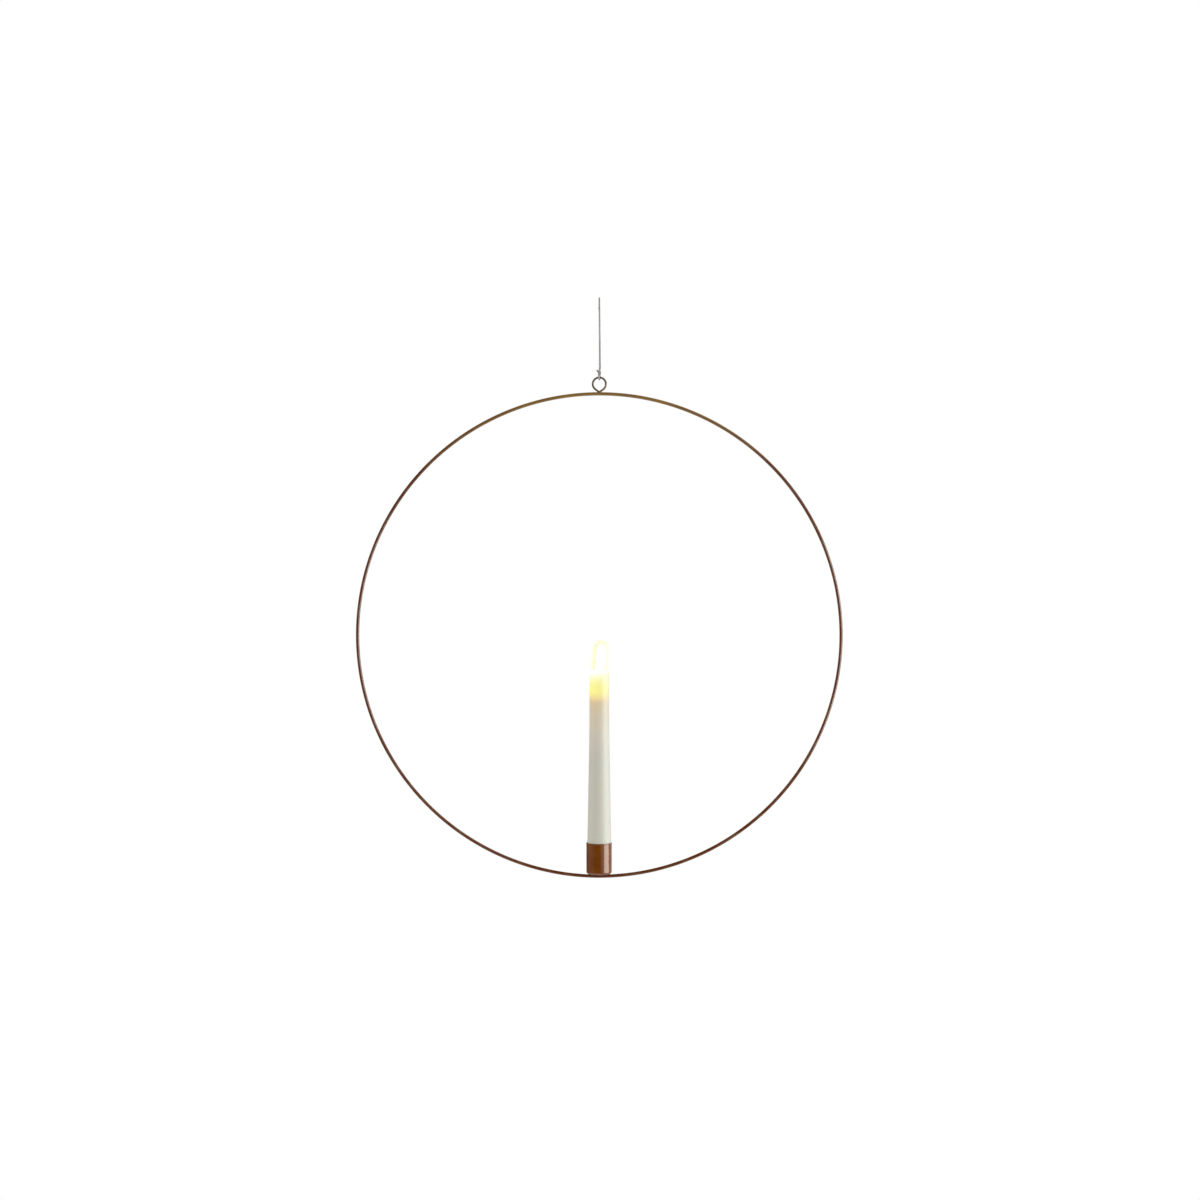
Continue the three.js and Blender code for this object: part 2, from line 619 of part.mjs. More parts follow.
// Battery cap: closes the base, with a skirt that locks in the tube by two lugs, notches for
// the fingers round its edge, and a pocket underneath for the switch's slider.
function makeCap() {
  const capR = CANDLE_D / 2 - CAP_INSET;
  const skirtTop = CAP_THICKNESS + SKIRT_HEIGHT;
  const outline = outlineOf([
    [0, 0],
    [capR - CAP_BEVEL, 0],
    [capR, CAP_BEVEL],
    [capR, CAP_THICKNESS],
    [skirtR, CAP_THICKNESS],
    [skirtR, skirtTop],
    [skirtInnerR, skirtTop],
    [skirtInnerR, CAP_THICKNESS],
    [0, CAP_THICKNESS],
  ]);
  const lugFoot = skirtR - SKIRT_WALL / 2;
  const lugTip = tubeOuterR - SEAT_GAP;
  const lugs = [-1, 1].map((side) => {
    const lug = block(LUG_WIDTH, lugTip - lugFoot, LUG_HEIGHT);
    return lug.translate(0, (side * (lugTip + lugFoot)) / 2, lugZ + LUG_HEIGHT / 2);
  });
  const grips = Array.from({ length: CAP_GRIPS }, (_, i) => {
    const angle = ((i + 0.5) / CAP_GRIPS) * 2 * Math.PI;
    const notch = rod(GRIP_R, 3 * CAP_THICKNESS, 10);
    return notch.translate((capR + GRIP_R / 3) * Math.cos(angle), (capR + GRIP_R / 3) * Math.sin(angle), 0);
  });
  const pocket = block(
    SLIDER_LENGTH + SLIDER_TRAVEL + 2 * SEAT_GAP,
    SLIDER_WIDTH + 2 * SEAT_GAP,
    2 * POCKET_DEPTH,
  );
  const slot = block(stemSlot, SLIDER_STEM + 2 * SEAT_GAP, 3 * CAP_THICKNESS);
  const disc = revolve(outline, roundSides);
  return mesh('battery_cap', cut(join(disc, ...lugs), ...grips, pocket, slot), whitePlastic);
}

// A coil that narrows from its base to its tip.
class ConeCoil extends THREE.Curve {
  getPoint(t, target = new THREE.Vector3()) {
    const angle = t * SPRING_TURNS * 2 * Math.PI;
    const r = THREE.MathUtils.lerp(skirtInnerR - SPRING_INSET, SPRING_TIP_D / 2, t) - SPRING_WIRE_D / 2;
    const z = springFoot + SPRING_WIRE_D / 2 + t * (SPRING_HEIGHT - SPRING_WIRE_D);
    return target.set(r * Math.cos(angle), r * Math.sin(angle), z);
  }
}

function makeSpring() {
  const steps = Math.round(SPRING_TURNS * 10);
  return mesh('contact_spring', tube(new ConeCoil(), SPRING_WIRE_D / 2, 6, steps), nickel);
}

function makeSpringPlate() {
  const plate = rod(skirtInnerR - SEAT_GAP, CONTACT_THICKNESS, roundSides);
  return mesh('spring_plate', plate.translate(0, 0, plateZ + CONTACT_THICKNESS / 2), nickel);
}

// Switch: the body inside the cap's skirt, and the slider that reaches it through the cap.
function makeSwitchBody() {
  const body = block(2 * (skirtInnerR - SWITCH_INSET), SWITCH_WIDTH, SWITCH_HEIGHT);
  body.translate(0, 0, switchFoot + SWITCH_HEIGHT / 2);
  const slot = block(stemSlot, SLIDER_STEM + 2 * SEAT_GAP, 2 * (STEM_REACH + SEAT_GAP));
  return mesh('switch_body', cut(body, slot.translate(0, 0, switchFoot)), blackPlastic);
}

function makeSlider() {
  const top = POCKET_DEPTH - SEAT_GAP;
  const knobMiddle = (top + SLIDER_RECESS) / 2;
  const knob = block(SLIDER_LENGTH, SLIDER_WIDTH, top - SLIDER_RECESS).translate(0, 0, knobMiddle);
  const stemTop = switchFoot + STEM_REACH;
  const stemFoot = knobMiddle;
  const stem = block(SLIDER_STEM, SLIDER_STEM, stemTop - stemFoot).translate(0, 0, (stemTop + stemFoot) / 2);
  const slider = mesh('switch_slider', join(knob, stem), blackPlastic);
  slider.position.x = -SLIDER_TRAVEL / 2;
  return slider;
}

// The battery candle, from its base up.
const candle = new THREE.Group();
candle.position.z = candleZ;
candle.add(makeCap(), makeSlider(), makeSwitchBody(), makeSpringPlate(), makeSpring());
candle.add(makeCell('cell_lower', cellLowerZ), makeCell('cell_upper', cellUpperZ), makeTopContact());
candle.add(makeInnerTube(), makeStrip(), makeLead(), makeBoard(), makeChip(), makeDeck());
candle.add(makeWaxShell(), makeFlame(), makeLed());

const ring = new THREE.Group();
ring.position.z = hoopZ;
ring.add(makeHoop(), makeEye(), makeCup(), candle);

const candleRing = new THREE.Group();
candleRing.add(makeHookLoop(), makeString(), makeHitch(), ring);

export default candleRing;
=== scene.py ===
import math

import bmesh
import bpy
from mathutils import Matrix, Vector


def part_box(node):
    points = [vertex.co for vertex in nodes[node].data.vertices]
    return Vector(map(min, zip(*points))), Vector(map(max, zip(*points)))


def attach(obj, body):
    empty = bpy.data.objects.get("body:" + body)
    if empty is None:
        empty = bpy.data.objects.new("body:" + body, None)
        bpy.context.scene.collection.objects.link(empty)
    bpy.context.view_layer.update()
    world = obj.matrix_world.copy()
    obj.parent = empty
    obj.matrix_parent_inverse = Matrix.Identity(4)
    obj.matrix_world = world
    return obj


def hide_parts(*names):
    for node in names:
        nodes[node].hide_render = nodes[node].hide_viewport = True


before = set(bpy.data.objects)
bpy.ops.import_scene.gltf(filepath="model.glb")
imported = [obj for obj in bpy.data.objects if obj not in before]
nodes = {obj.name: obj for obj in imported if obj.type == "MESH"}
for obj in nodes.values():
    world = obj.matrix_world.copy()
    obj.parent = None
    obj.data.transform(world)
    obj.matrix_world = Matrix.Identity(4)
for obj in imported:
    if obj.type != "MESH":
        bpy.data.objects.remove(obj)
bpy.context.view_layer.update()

# View. The ring is seen from straight in front and a little above, from three and a half
# metres off, and the frame is 1.11 m wide where the hoop hangs.
hoop_low, hoop_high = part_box("hoop")
hoop_centre = (hoop_low + hoop_high) / 2
look_down = math.radians(3.5)
view_distance = 3.5
frame_width = 1.1087
aim_above_hoop, aim_right_of_hoop = 0.0333, 0.0006
aim = hoop_centre + Vector((aim_right_of_hoop, 0, aim_above_hoop))
back = Vector((0, -math.cos(look_down), math.sin(look_down)))
camera = bpy.data.objects.new("camera", bpy.data.cameras.new("camera"))
bpy.context.scene.collection.objects.link(camera)
camera.data.lens = camera.data.sensor_width * view_distance / frame_width
camera.location = aim + view_distance * back
camera.rotation_euler = back.to_track_quat("Z", "Y").to_euler()
camera.data.clip_start, camera.data.clip_end = 0.05, 200
bpy.context.scene.camera = camera
bpy.context.scene.view_settings.view_transform = "Standard"

# Hoop. One length of 3 mm iron wire, drawn, copper plated, darkened, and dipped in a brown
# lacquer. It is rolled to a 450 mm circle, and its ends meet under the cup.
rod_radius = 0.0015
lacquer_film = 0.00004
hoop_radius = (hoop_high.x - hoop_low.x) / 2 - rod_radius


def colour(code):
    """An sRGB hex colour as the linear one that a socket takes."""
    parts = [int(code[i : i + 2], 16) / 255 for i in (0, 2, 4)]
    return (*[p / 12.92 if p <= 0.04045 else ((p + 0.055) / 1.055) ** 2.4 for p in parts], 1)


def add(tree, kind, inputs=(), stops=(), **settings):
    """Adds a node with its settings, its ramp's stops, and a value or a link for each input."""
    made = tree.nodes.new(kind)
    for name, value in settings.items():
        setattr(made, name, value)
    for i, (place, code) in enumerate(stops):
        marks = made.color_ramp.elements
        mark = marks[i] if i < 2 else marks.new(place)
        mark.position, mark.color = place, colour(code)
    for name, value in dict(inputs).items():
        if isinstance(value, bpy.types.NodeSocket):
            tree.links.new(value, made.inputs[name])
        else:
            made.inputs[name].default_value = value
    return made


def new_finish(name):
    """An empty material and its tree."""
    finish = bpy.data.materials.new(name)
    finish.use_nodes = True
    finish.node_tree.nodes.clear()
    return finish, finish.node_tree


def brown_lacquer(name, foot, side, crown, rubbed):
    """Copper plate, darkened and dipped in a brown lacquer that hides nearly all of the metal.
    It changes with height, from a darker brown at the hoop's foot, through another up its sides,
    to a lighter, more golden one at its crown, in soft clouds, with rubbed patches, faint draw
    lines along a wire, and the lacquer's sharp gleam."""
    cloud_size, patch_size, line_length, pit_size = 0.04, 0.012, 0.012, 0.0008
    waver = 0.05  # metres up or down that the clouds shift the change of brown
    finish, tree = new_finish(name)
    place = add(tree, "ShaderNodeTexCoord").outputs["Object"]
    height = add(tree, "ShaderNodeSeparateXYZ", {"Vector": place}).outputs["Z"]
    clouds = add(tree, "ShaderNodeTexNoise", {"Vector": place, "Scale": 1 / cloud_size, "Detail": 2})
    drift = add(
        tree,
        "ShaderNodeMapRange",
        {"Value": clouds.outputs["Fac"], "To Min": -waver, "To Max": waver},
    )
    level = add(tree, "ShaderNodeMath", {0: height, 1: drift.outputs["Result"]}, operation="ADD")
    rise = add(
        tree,
        "ShaderNodeMapRange",
        {"Value": level.outputs["Value"], "From Min": hoop_low.z, "From Max": hoop_high.z},
    )
    ground = add(
        tree,
        "ShaderNodeValToRGB",
        {"Fac": rise.outputs["Result"]},
        [(0.06, foot), (1.0, crown), (0.4, side), (0.86, side)],
    )
    patches = add(tree, "ShaderNodeTexNoise", {"Vector": place, "Scale": 1 / patch_size, "Detail": 5})
    wear = add(
        tree,
        "ShaderNodeMapRange",
        {"Value": patches.outputs["Fac"], "From Min": 0.45, "From Max": 0.75, "To Max": 0.7},
    )
    tone = add(
        tree,
        "ShaderNodeMix",
        {0: wear.outputs["Result"], 6: ground.outputs["Color"], 7: colour(rubbed)},
        data_type="RGBA",
    )
    round_the_wire = add(tree, "ShaderNodeAttribute", attribute_name="section").outputs["Vector"]
    along_the_wire = add(tree, "ShaderNodeAttribute", attribute_name="along").outputs["Fac"]
    along = add(tree, "ShaderNodeMath", {0: along_the_wire, 1: 1 / line_length}, operation="MULTIPLY")
    parts = add(tree, "ShaderNodeSeparateXYZ", {"Vector": round_the_wire})
    lines_at = add(
        tree,
        "ShaderNodeCombineXYZ",
        {"X": parts.outputs["X"], "Y": parts.outputs["Y"], "Z": along.outputs["Value"]},
    )
    lines = add(tree, "ShaderNodeTexNoise", {"Vector": lines_at.outputs["Vector"], "Scale": 5})
    pits = add(tree, "ShaderNodeTexNoise", {"Vector": place, "Scale": 1 / pit_size, "Detail": 3})
    relief = add(
        tree, "ShaderNodeMath", {0: lines.outputs["Fac"], 1: pits.outputs["Fac"]}, operation="ADD"
    )
    bump = add(
        tree,
        "ShaderNodeBump",
        {"Strength": 0.35, "Distance": 0.00004, "Height": relief.outputs["Value"]},
    )
    dull, polished = 0.52, 0.42
    gloss = add(
        tree,
        "ShaderNodeMapRange",
        {
            "Value": patches.outputs["Fac"],
            "From Min": 0.3,
            "From Max": 0.7,
            "To Min": dull,
            "To Max": polished,
        },
    )
    metal = add(
        tree,
        "ShaderNodeBsdfPrincipled",
        {
            "Base Color": tone.outputs[2],
            "Metallic": 0.06,
            "Roughness": gloss.outputs["Result"],
            "Specular IOR Level": 0.0,
            "Normal": bump.outputs["Normal"],
            "Coat Weight": 1.0,
            "Coat Roughness": 0.1,
            "Coat IOR": 1.6,
        },
    )
    add(tree, "ShaderNodeOutputMaterial", {"Surface": metal.outputs["BSDF"]})
    return finish


def strand_tree():
    """Sweeps a round section, or one with the grooves of laid plies, along a path of edges,
    wider or slimmer as the path's width says."""
    tree = bpy.data.node_groups.new("strand_along_path", "GeometryNodeTree")
    for name, kind in (
        ("Geometry", "NodeSocketGeometry"),
        ("Radius", "NodeSocketFloat"),
        ("Sides", "NodeSocketInt"),
        ("Plies", "NodeSocketInt"),
        ("Groove", "NodeSocketFloat"),
        ("Turns", "NodeSocketFloat"),
        ("Finish", "NodeSocketMaterial"),
    ):
        tree.interface.new_socket(name, in_out="INPUT", socket_type=kind)
    tree.interface.new_socket("Geometry", in_out="OUTPUT", socket_type="NodeSocketGeometry")
    given = add(tree, "NodeGroupInput").outputs

    circle = add(
        tree,
        "GeometryNodeCurvePrimitiveCircle",
        {"Resolution": given["Sides"], "Radius": given["Radius"]},
    )
    position = add(tree, "GeometryNodeInputPosition").outputs["Position"]
    outward = add(tree, "ShaderNodeVectorMath", {0: position}, operation="NORMALIZE")
    marked = add(
        tree,
        "GeometryNodeStoreNamedAttribute",
        {"Geometry": circle.outputs["Curve"], "Name": "section"},
        data_type="FLOAT_VECTOR",
    )
    tree.links.new(outward.outputs["Vector"], marked.inputs["Value"])
    parts = add(tree, "ShaderNodeSeparateXYZ", {"Vector": position}).outputs
    angle = add(tree, "ShaderNodeMath", {0: parts["Y"], 1: parts["X"]}, operation="ARCTAN2")
    half_turn = add(tree, "ShaderNodeMath", {0: given["Plies"], 1: 0.5}, operation="MULTIPLY")
    phase = add(
        tree, "ShaderNodeMath", {0: angle.outputs[0], 1: half_turn.outputs[0]}, operation="MULTIPLY"
    )
    wave = add(tree, "ShaderNodeMath", {0: phase.outputs[0]}, operation="COSINE")
    crest = add(tree, "ShaderNodeMath", {0: wave.outputs[0]}, operation="ABSOLUTE")
    hollow = add(tree, "ShaderNodeMath", {0: 1.0, 1: crest.outputs[0]}, operation="SUBTRACT")
    depth = add(
        tree, "ShaderNodeMath", {0: hollow.outputs[0], 1: given["Groove"]}, operation="MULTIPLY"
    )
    share = add(tree, "ShaderNodeMath", {0: 1.0, 1: depth.outputs[0]}, operation="SUBTRACT")
    drawn_in = add(
        tree, "ShaderNodeVectorMath", {0: position, "Scale": share.outputs[0]}, operation="SCALE"
    )
    section = add(
        tree,
        "GeometryNodeSetPosition",
        {"Geometry": marked.outputs["Geometry"], "Position": drawn_in.outputs["Vector"]},
    )

    path = add(tree, "GeometryNodeMeshToCurve", {"Mesh": given["Geometry"]})
    length = add(tree, "GeometryNodeSplineParameter").outputs["Length"]
    turns = add(tree, "ShaderNodeMath", {0: length, 1: given["Turns"]}, operation="MULTIPLY")
    twist = add(tree, "ShaderNodeMath", {0: turns.outputs[0], 1: 2 * math.pi}, operation="MULTIPLY")
    laid = add(
        tree, "GeometryNodeSetCurveTilt", {"Curve": path.outputs["Curve"], "Tilt": twist.outputs[0]}
    )
    measured = add(
        tree,
        "GeometryNodeStoreNamedAttribute",
        {"Geometry": laid.outputs["Curve"], "Name": "along"},
        data_type="FLOAT",
    )
    tree.links.new(length, measured.inputs["Value"])
    width = add(tree, "GeometryNodeInputNamedAttribute", {"Name": "width"}, data_type="FLOAT")
    swept = add(
        tree,
        "GeometryNodeCurveToMesh",
        {
            "Curve": measured.outputs["Geometry"],
            "Profile Curve": section.outputs["Geometry"],
            "Scale": width.outputs["Attribute"],
            "Fill Caps": True,
        },
    )
    soft = add(tree, "GeometryNodeSetShadeSmooth", {"Geometry": swept.outputs["Mesh"]})
    real = add(tree, "GeometryNodeRealizeInstances", {"Geometry": soft.outputs["Geometry"]})
    finished = add(
        tree,
        "GeometryNodeSetMaterial",
        {"Geometry": real.outputs["Geometry"], "Material": given["Finish"]},
    )
    add(tree, "NodeGroupOutput", {"Geometry": finished.outputs["Geometry"]})
    return tree


def place_mesh(name, points, edges, faces):
    """A new object at the origin with that mesh."""
    made = bpy.data.meshes.new(name)
    made.from_pydata([tuple(p) for p in points], edges, faces)
    piece = bpy.data.objects.new(name, made)
    bpy.context.scene.collection.objects.link(piece)
    return piece


def strand(
    name, points, radius, finish, closed=False, sides=24, plies=0, groove=0.0, turns=0.0, widths=()
):
    """A wire, thread or string along those points, as a plain mesh. The turns are per metre, and
    each width is a share of the radius."""
    edges = [(i, i + 1) for i in range(len(points) - 1)]
    if closed:
        edges.append((len(points) - 1, 0))
    piece = place_mesh(name, points, edges, [])
    width = piece.data.attributes.new("width", "FLOAT", "POINT")
    width.data.foreach_set("value", widths or [1.0] * len(points))
    modifier = piece.modifiers.new("strand", "NODES")
    modifier.node_group = strands
    given = {
        "Radius": radius,
        "Sides": sides,
        "Plies": plies,
        "Groove": groove,
        "Turns": turns,
        "Finish": finish,
    }
    for socket in strands.interface.items_tree:
        if socket.name in given:
            modifier[socket.identifier] = given[socket.name]
    graph = bpy.context.evaluated_depsgraph_get()
    swept = bpy.data.meshes.new_from_object(piece.evaluated_get(graph), depsgraph=graph)
    piece.modifiers.clear()
    piece.data = swept
    swept.name = name
    return piece


def hoop_at(a):
    """The middle of the rod at an angle from the hoop's foot, in radians to the right."""
    return hoop_centre + hoop_radius * Vector((math.sin(a), 0, -math.cos(a)))


strands = strand_tree()
rod_lacquer = brown_lacquer(
    "brown_lacquer_on_rod", foot="70370f", side="6e3e24", crown="a07c3c", rubbed="8a6a50"
)
hoop_steps = 288
hoop_path = [hoop_at(2 * math.pi * i / hoop_steps) for i in range(hoop_steps)]
hoop = strand("hoop_rod", hoop_path, rod_radius + lacquer_film, rod_lacquer, closed=True)
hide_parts("hoop")
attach(hoop, "ring")

# Hanging eye. A thinner 1.9 mm wire of the same plated iron, wound once round a former into
# an eye, with both ends brought down to the top of the hoop and brazed there.
eye_radius = 0.0121 / 2
eye_wire_radius = 0.0019 / 2
eye_leg = 0.0044
eye_leg_in_rod = 0.0004
eye_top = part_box("hanging_eye")[1].z
swing = Vector((0, 0, eye_top - eye_wire_radius))  # the middle of the eye's top wire
eye_centre = swing - Vector((0, 0, eye_radius))
rod_top = hoop_centre + Vector((0, 0, hoop_radius))  # the middle of the rod under the eye


def eye_half(side):
    """One side of the eye's wire, from just inside the rod up to the top."""
    leg_steps, bend_steps = 8, 40
    turn = math.atan2(eye_leg, eye_radius)
    foot = eye_centre + eye_radius * Vector((side * math.sin(turn), 0, -math.cos(turn)))
    down = Vector((-side * math.cos(turn), 0, -math.sin(turn)))
    leg = [foot + down * (eye_leg + eye_leg_in_rod) * i / leg_steps for i in range(leg_steps, 0, -1)]
    bend = [
        eye_centre + eye_radius * Vector((side * math.sin(a), 0, -math.cos(a)))
        for a in (turn + (math.pi - turn) * i / bend_steps for i in range(bend_steps + 1))
    ]
    return leg + bend


def fused(name, parts, grain, finish, rounds=6):
    """Grows parts that touch into one skin, on a grid of that grain in metres, and softens it in
    some rounds, as braze flows into a corner."""
    whole = bmesh.new()
    for part in parts:
        whole.from_mesh(part.data)
        bpy.data.objects.remove(part)
    made = bpy.data.meshes.new(name)
    whole.to_mesh(made)
    whole.free()
    piece = bpy.data.objects.new(name, made)
    bpy.context.scene.collection.objects.link(piece)
    skin = piece.modifiers.new("skin", "REMESH")
    skin.mode, skin.voxel_size, skin.use_smooth_shade = "VOXEL", grain, True
    flow = piece.modifiers.new("flow", "SMOOTH")
    flow.factor, flow.iterations = 0.5, rounds
    graph = bpy.context.evaluated_depsgraph_get()
    grown = bpy.data.meshes.new_from_object(piece.evaluated_get(graph), depsgraph=graph)
    piece.modifiers.clear()
    piece.data = grown
    grown.materials.clear()
    grown.materials.append(finish)
    grown.shade_smooth()
    return piece


def turned(name, outline, centre, finish, sides=96, stretch=(1, 1)):
    """Turns a closed outline of radius and height about a vertical axis, and stretches it in X
    and in Y."""
    points, rows = [], []
    for r, z in outline:
        if r < 1e-7:
            rows.append([len(points)])
            points.append(centre + Vector((0, 0, z)))
            continue
        rows.append(range(len(points), len(points) + sides))
        for i in range(sides):
            a = 2 * math.pi * i / sides
            x, y = stretch[0] * r * math.cos(a), stretch[1] * r * math.sin(a)
            points.append(centre + Vector((x, y, z)))
    faces = []
    for one, two in zip(rows, [*rows[1:], rows[0]]):
        for i in range(sides):
            j = (i + 1) % sides
            corners = [one[i % len(one)], one[j % len(one)], two[j % len(two)], two[i % len(two)]]
            corners = list(dict.fromkeys(corners))
            if len(corners) > 2:
                faces.append(corners)
    piece = place_mesh(name, points, [], faces)
    shape = bmesh.new()
    shape.from_mesh(piece.data)
    bmesh.ops.recalc_face_normals(shape, faces=shape.faces)
    shape.to_mesh(piece.data)
    shape.free()
    piece.data.materials.append(finish)
    piece.data.shade_smooth()
    return piece


wire_lacquer = brown_lacquer(
    "worn_lacquer_on_eye_wire", foot="665850", side="665850", crown="6a5a48", rubbed="ac8a50"
)
eye_path = [*eye_half(1), *eye_half(-1)[-2::-1]]
rod_stub = [rod_top + Vector((x / 1000, 0, 0)) for x in (-5, -2.5, 0, 2.5, 5)]
stub_radius = rod_radius - 0.00004  # just under the hoop's own skin
bead_outline = [(0, 0.0004), (0.00215, 0.0004), (0.0019, 0.0016), (0.0008, 0.0026), (0, 0.0028)]
eye = fused(
    "eye_with_braze",
    [
        strand("eye_wire", eye_path, eye_wire_radius, wire_lacquer, sides=16),
        strand("eye_rod", rod_stub, stub_radius, wire_lacquer),
        turned("eye_bead", bead_outline, rod_top, wire_lacquer, sides=24, stretch=(1, 0.6)),
    ],
    grain=0.00012,
    finish=wire_lacquer,
)
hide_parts("hanging_eye")
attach(eye, "ring")

# Candle cup. Drawn from 0.4 mm sheet, with a small rolled lip and a rounded foot corner, and
# plated and lacquered as the hoop is. A saddle of braze holds its floor to the rod, a quarter
# of a millimetre to the left of the candle.
cup_low, cup_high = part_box("candle_cup")
cup_lip, cup_wall, cup_corner, cup_bore_corner = 0.00012, 0.0004, 0.0026, 0.0022
cup_lip_radius = (cup_high.x - cup_low.x) / 2
cup_radius = cup_lip_radius - cup_lip
cup_bore = cup_radius - cup_wall
cup_flat = 0.004
cup_height = 0.0292
cup_to_left = 0.00025
cup_floor = Vector((-cup_to_left, 0, cup_high.z - cup_height))


def arc(r, z, radius, start, end, steps):
    """Points of an arc about (r, z), with its angles in degrees from straight outwards."""
    return [
        (r + radius * math.cos(a), z + radius * math.sin(a))
        for a in (math.radians(start + (end - start) * i / steps) for i in range(steps + 1))
    ]


lip_round = (cup_lip_radius - cup_bore) / 2
cup_outline = [  # radius and height of each point
    (0, 0),
    (cup_flat, 0),
    *arc(cup_radius - cup_corner, cup_corner, cup_corner, -90, 0, 10),
    (cup_radius, 0.010),
    (cup_radius, 0.020),
    (cup_radius, cup_height - 0.0016),
    (cup_radius, cup_height - 0.0013),
    (cup_lip_radius - 0.00003, cup_height - 0.0011),
    (cup_lip_radius, cup_height - 0.0009),
    *arc(cup_bore + lip_round, cup_height - lip_round, lip_round, 0, 180, 8),
    (cup_bore, 0.020),
    (cup_bore, 0.010),
    *arc(cup_bore - cup_bore_corner, cup_corner, cup_bore_corner, 0, -90, 8),
    (cup_flat, cup_wall),
    (0, cup_wall),
]
cup_lacquer = brown_lacquer(
    "brown_lacquer_on_cup", foot="804008", side="804008", crown="864a0c", rubbed="96621a"
)
cup = turned("candle_cup_shell", cup_outline, cup_floor, cup_lacquer)
saddle_rod = [hoop_at(math.radians(degrees)) for degrees in (-2.2, -1.1, 0, 1.1, 2.2)]
saddle_depth = cup_floor.z - (hoop_centre.z - hoop_radius)
saddle_outline = [
    (0, -saddle_depth),
    (0.0022, -saddle_depth),
    (0.0034, -0.0007),
    (0.0045, 0.0001),
    (0, 0.0001),
]
saddle = fused(
    "cup_braze",
    [
        strand("saddle_rod", saddle_rod, stub_radius, rod_lacquer),
        turned("saddle_body", saddle_outline, cup_floor, rod_lacquer, sides=32, stretch=(1, 0.55)),
    ],
    grain=0.00014,
    finish=rod_lacquer,
)
for piece in (cup, saddle):
    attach(piece, "ring")
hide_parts("candle_cup")

# String. Four-ply cotton twine, 1.7 mm thick and grey, laid with a turn every 4 mm. It hangs
# from its loop, and its lower end is tied to the eye. It swells a little towards its knot.
string_radius = 0.00085
twine_turns = 1 / 0.004
string_low, string_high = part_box("hanging_string")
string_into_loop = 0.0005


def cotton_twine():
    """Soft spun cotton. It looks matt, with a pale fuzz at its edges, a fibrous grain 0.1 mm
    across, slow drifts of grey every 4 mm, and a painted shade of browner grey where the string
    is drawn narrower, darkest in its knot and in its loop."""
    lay_length, drift_length = 0.0012, 0.004
    finish, tree = new_finish("grey_cotton_twine")
    place = add(tree, "ShaderNodeTexCoord").outputs["Object"]
    section = add(tree, "ShaderNodeAttribute", attribute_name="section").outputs["Vector"]
    along = add(tree, "ShaderNodeAttribute", attribute_name="along").outputs["Fac"]
    slow = add(tree, "ShaderNodeMath", {0: along, 1: 1 / lay_length}, operation="MULTIPLY")
    parts = add(tree, "ShaderNodeSeparateXYZ", {"Vector": section})
    lay = add(
        tree,
        "ShaderNodeCombineXYZ",
        {"X": parts.outputs["X"], "Y": parts.outputs["Y"], "Z": slow.outputs["Value"]},
    )
    fibres = add(tree, "ShaderNodeTexNoise", {"Vector": lay.outputs["Vector"], "Scale": 7, "Detail": 4})
    uneven = add(tree, "ShaderNodeTexNoise", {"Vector": place, "Scale": 1 / drift_length, "Detail": 2})
    both = add(
        tree,
        "ShaderNodeMath",
        {0: fibres.outputs["Fac"], 1: uneven.outputs["Fac"]},
        operation="MULTIPLY",
    )
    loose = add(
        tree,
        "ShaderNodeValToRGB",
        {"Fac": both.outputs["Value"]},
        [(0.12, "b6b5b4"), (0.42, "cccbca"), (0.26, "c1c0bf")],
    )
    # Painted shade: where the string is drawn narrower, in its knot and loop, its grey is painted a
    # darker brown grey.
    width = add(tree, "ShaderNodeAttribute", attribute_name="width").outputs["Fac"]
    painted_knot_shade = add(tree, "ShaderNodeMapRange", {"Value": width, "From Min": 0.72, "From Max": 0.98})
    tone = add(
        tree,
        "ShaderNodeMix",
        {0: painted_knot_shade.outputs["Result"], 6: colour("7d7068"), 7: loose.outputs["Color"]},
        data_type="RGBA",
    )
    bump = add(
        tree,
        "ShaderNodeBump",
        {"Strength": 0.4, "Distance": 0.00006, "Height": fibres.outputs["Fac"]},
    )
    cloth = add(
        tree,
        "ShaderNodeBsdfPrincipled",
        {
            "Base Color": tone.outputs[2],
            "Roughness": 0.92,
            "Specular IOR Level": 0.25,
            "Sheen Weight": 0.25,
            "Normal": bump.outputs["Normal"],
        },
    )
    add(tree, "ShaderNodeOutputMaterial", {"Surface": cloth.outputs["BSDF"]})
    return finish


def twine_along(name, points, widths):
    """A stretch of the four-ply twine."""
    return strand(
        name, points, string_radius, twine, plies=4, groove=0.05, turns=twine_turns, widths=widths
    )


def string_at(share):
    """The middle of the string at a share of its length from its foot: on the axis at the foot,
    then a little to the right, and back towards the axis at the top."""
    to_right = 0.0006 - 0.00045 * share
    to_axis = 0.0006 * max(0, 1 - share / 0.07) ** 2
    height = string_high.z + string_into_loop - string_low.z
    return Vector((to_right - to_axis, 0, string_low.z + height * share))


twine = cotton_twine()
string_steps = 160
string_shares = [i / string_steps for i in range(string_steps + 1)]
string_path = [string_at(share) for share in string_shares]
string_widths = [0.95 + 0.3 * (1 - share) ** 2 for share in string_shares]
string = twine_along("twine", string_path, string_widths)

# Loop of the string. Its upper end is turned back on itself round the hook, and the two parts
# are seized with six turns of thread. Sizes are in millimetres, and the thread's in metres.
leg_offset = 0.8
seizing_turns, seizing_steps = 6, 24
seizing_foot, seizing_height = -9.3, 1.5
seizing_radius, seizing_reach, seizing_corner = 0.84, 0.75, 0.35
seizing_thread_radius = 0.00012


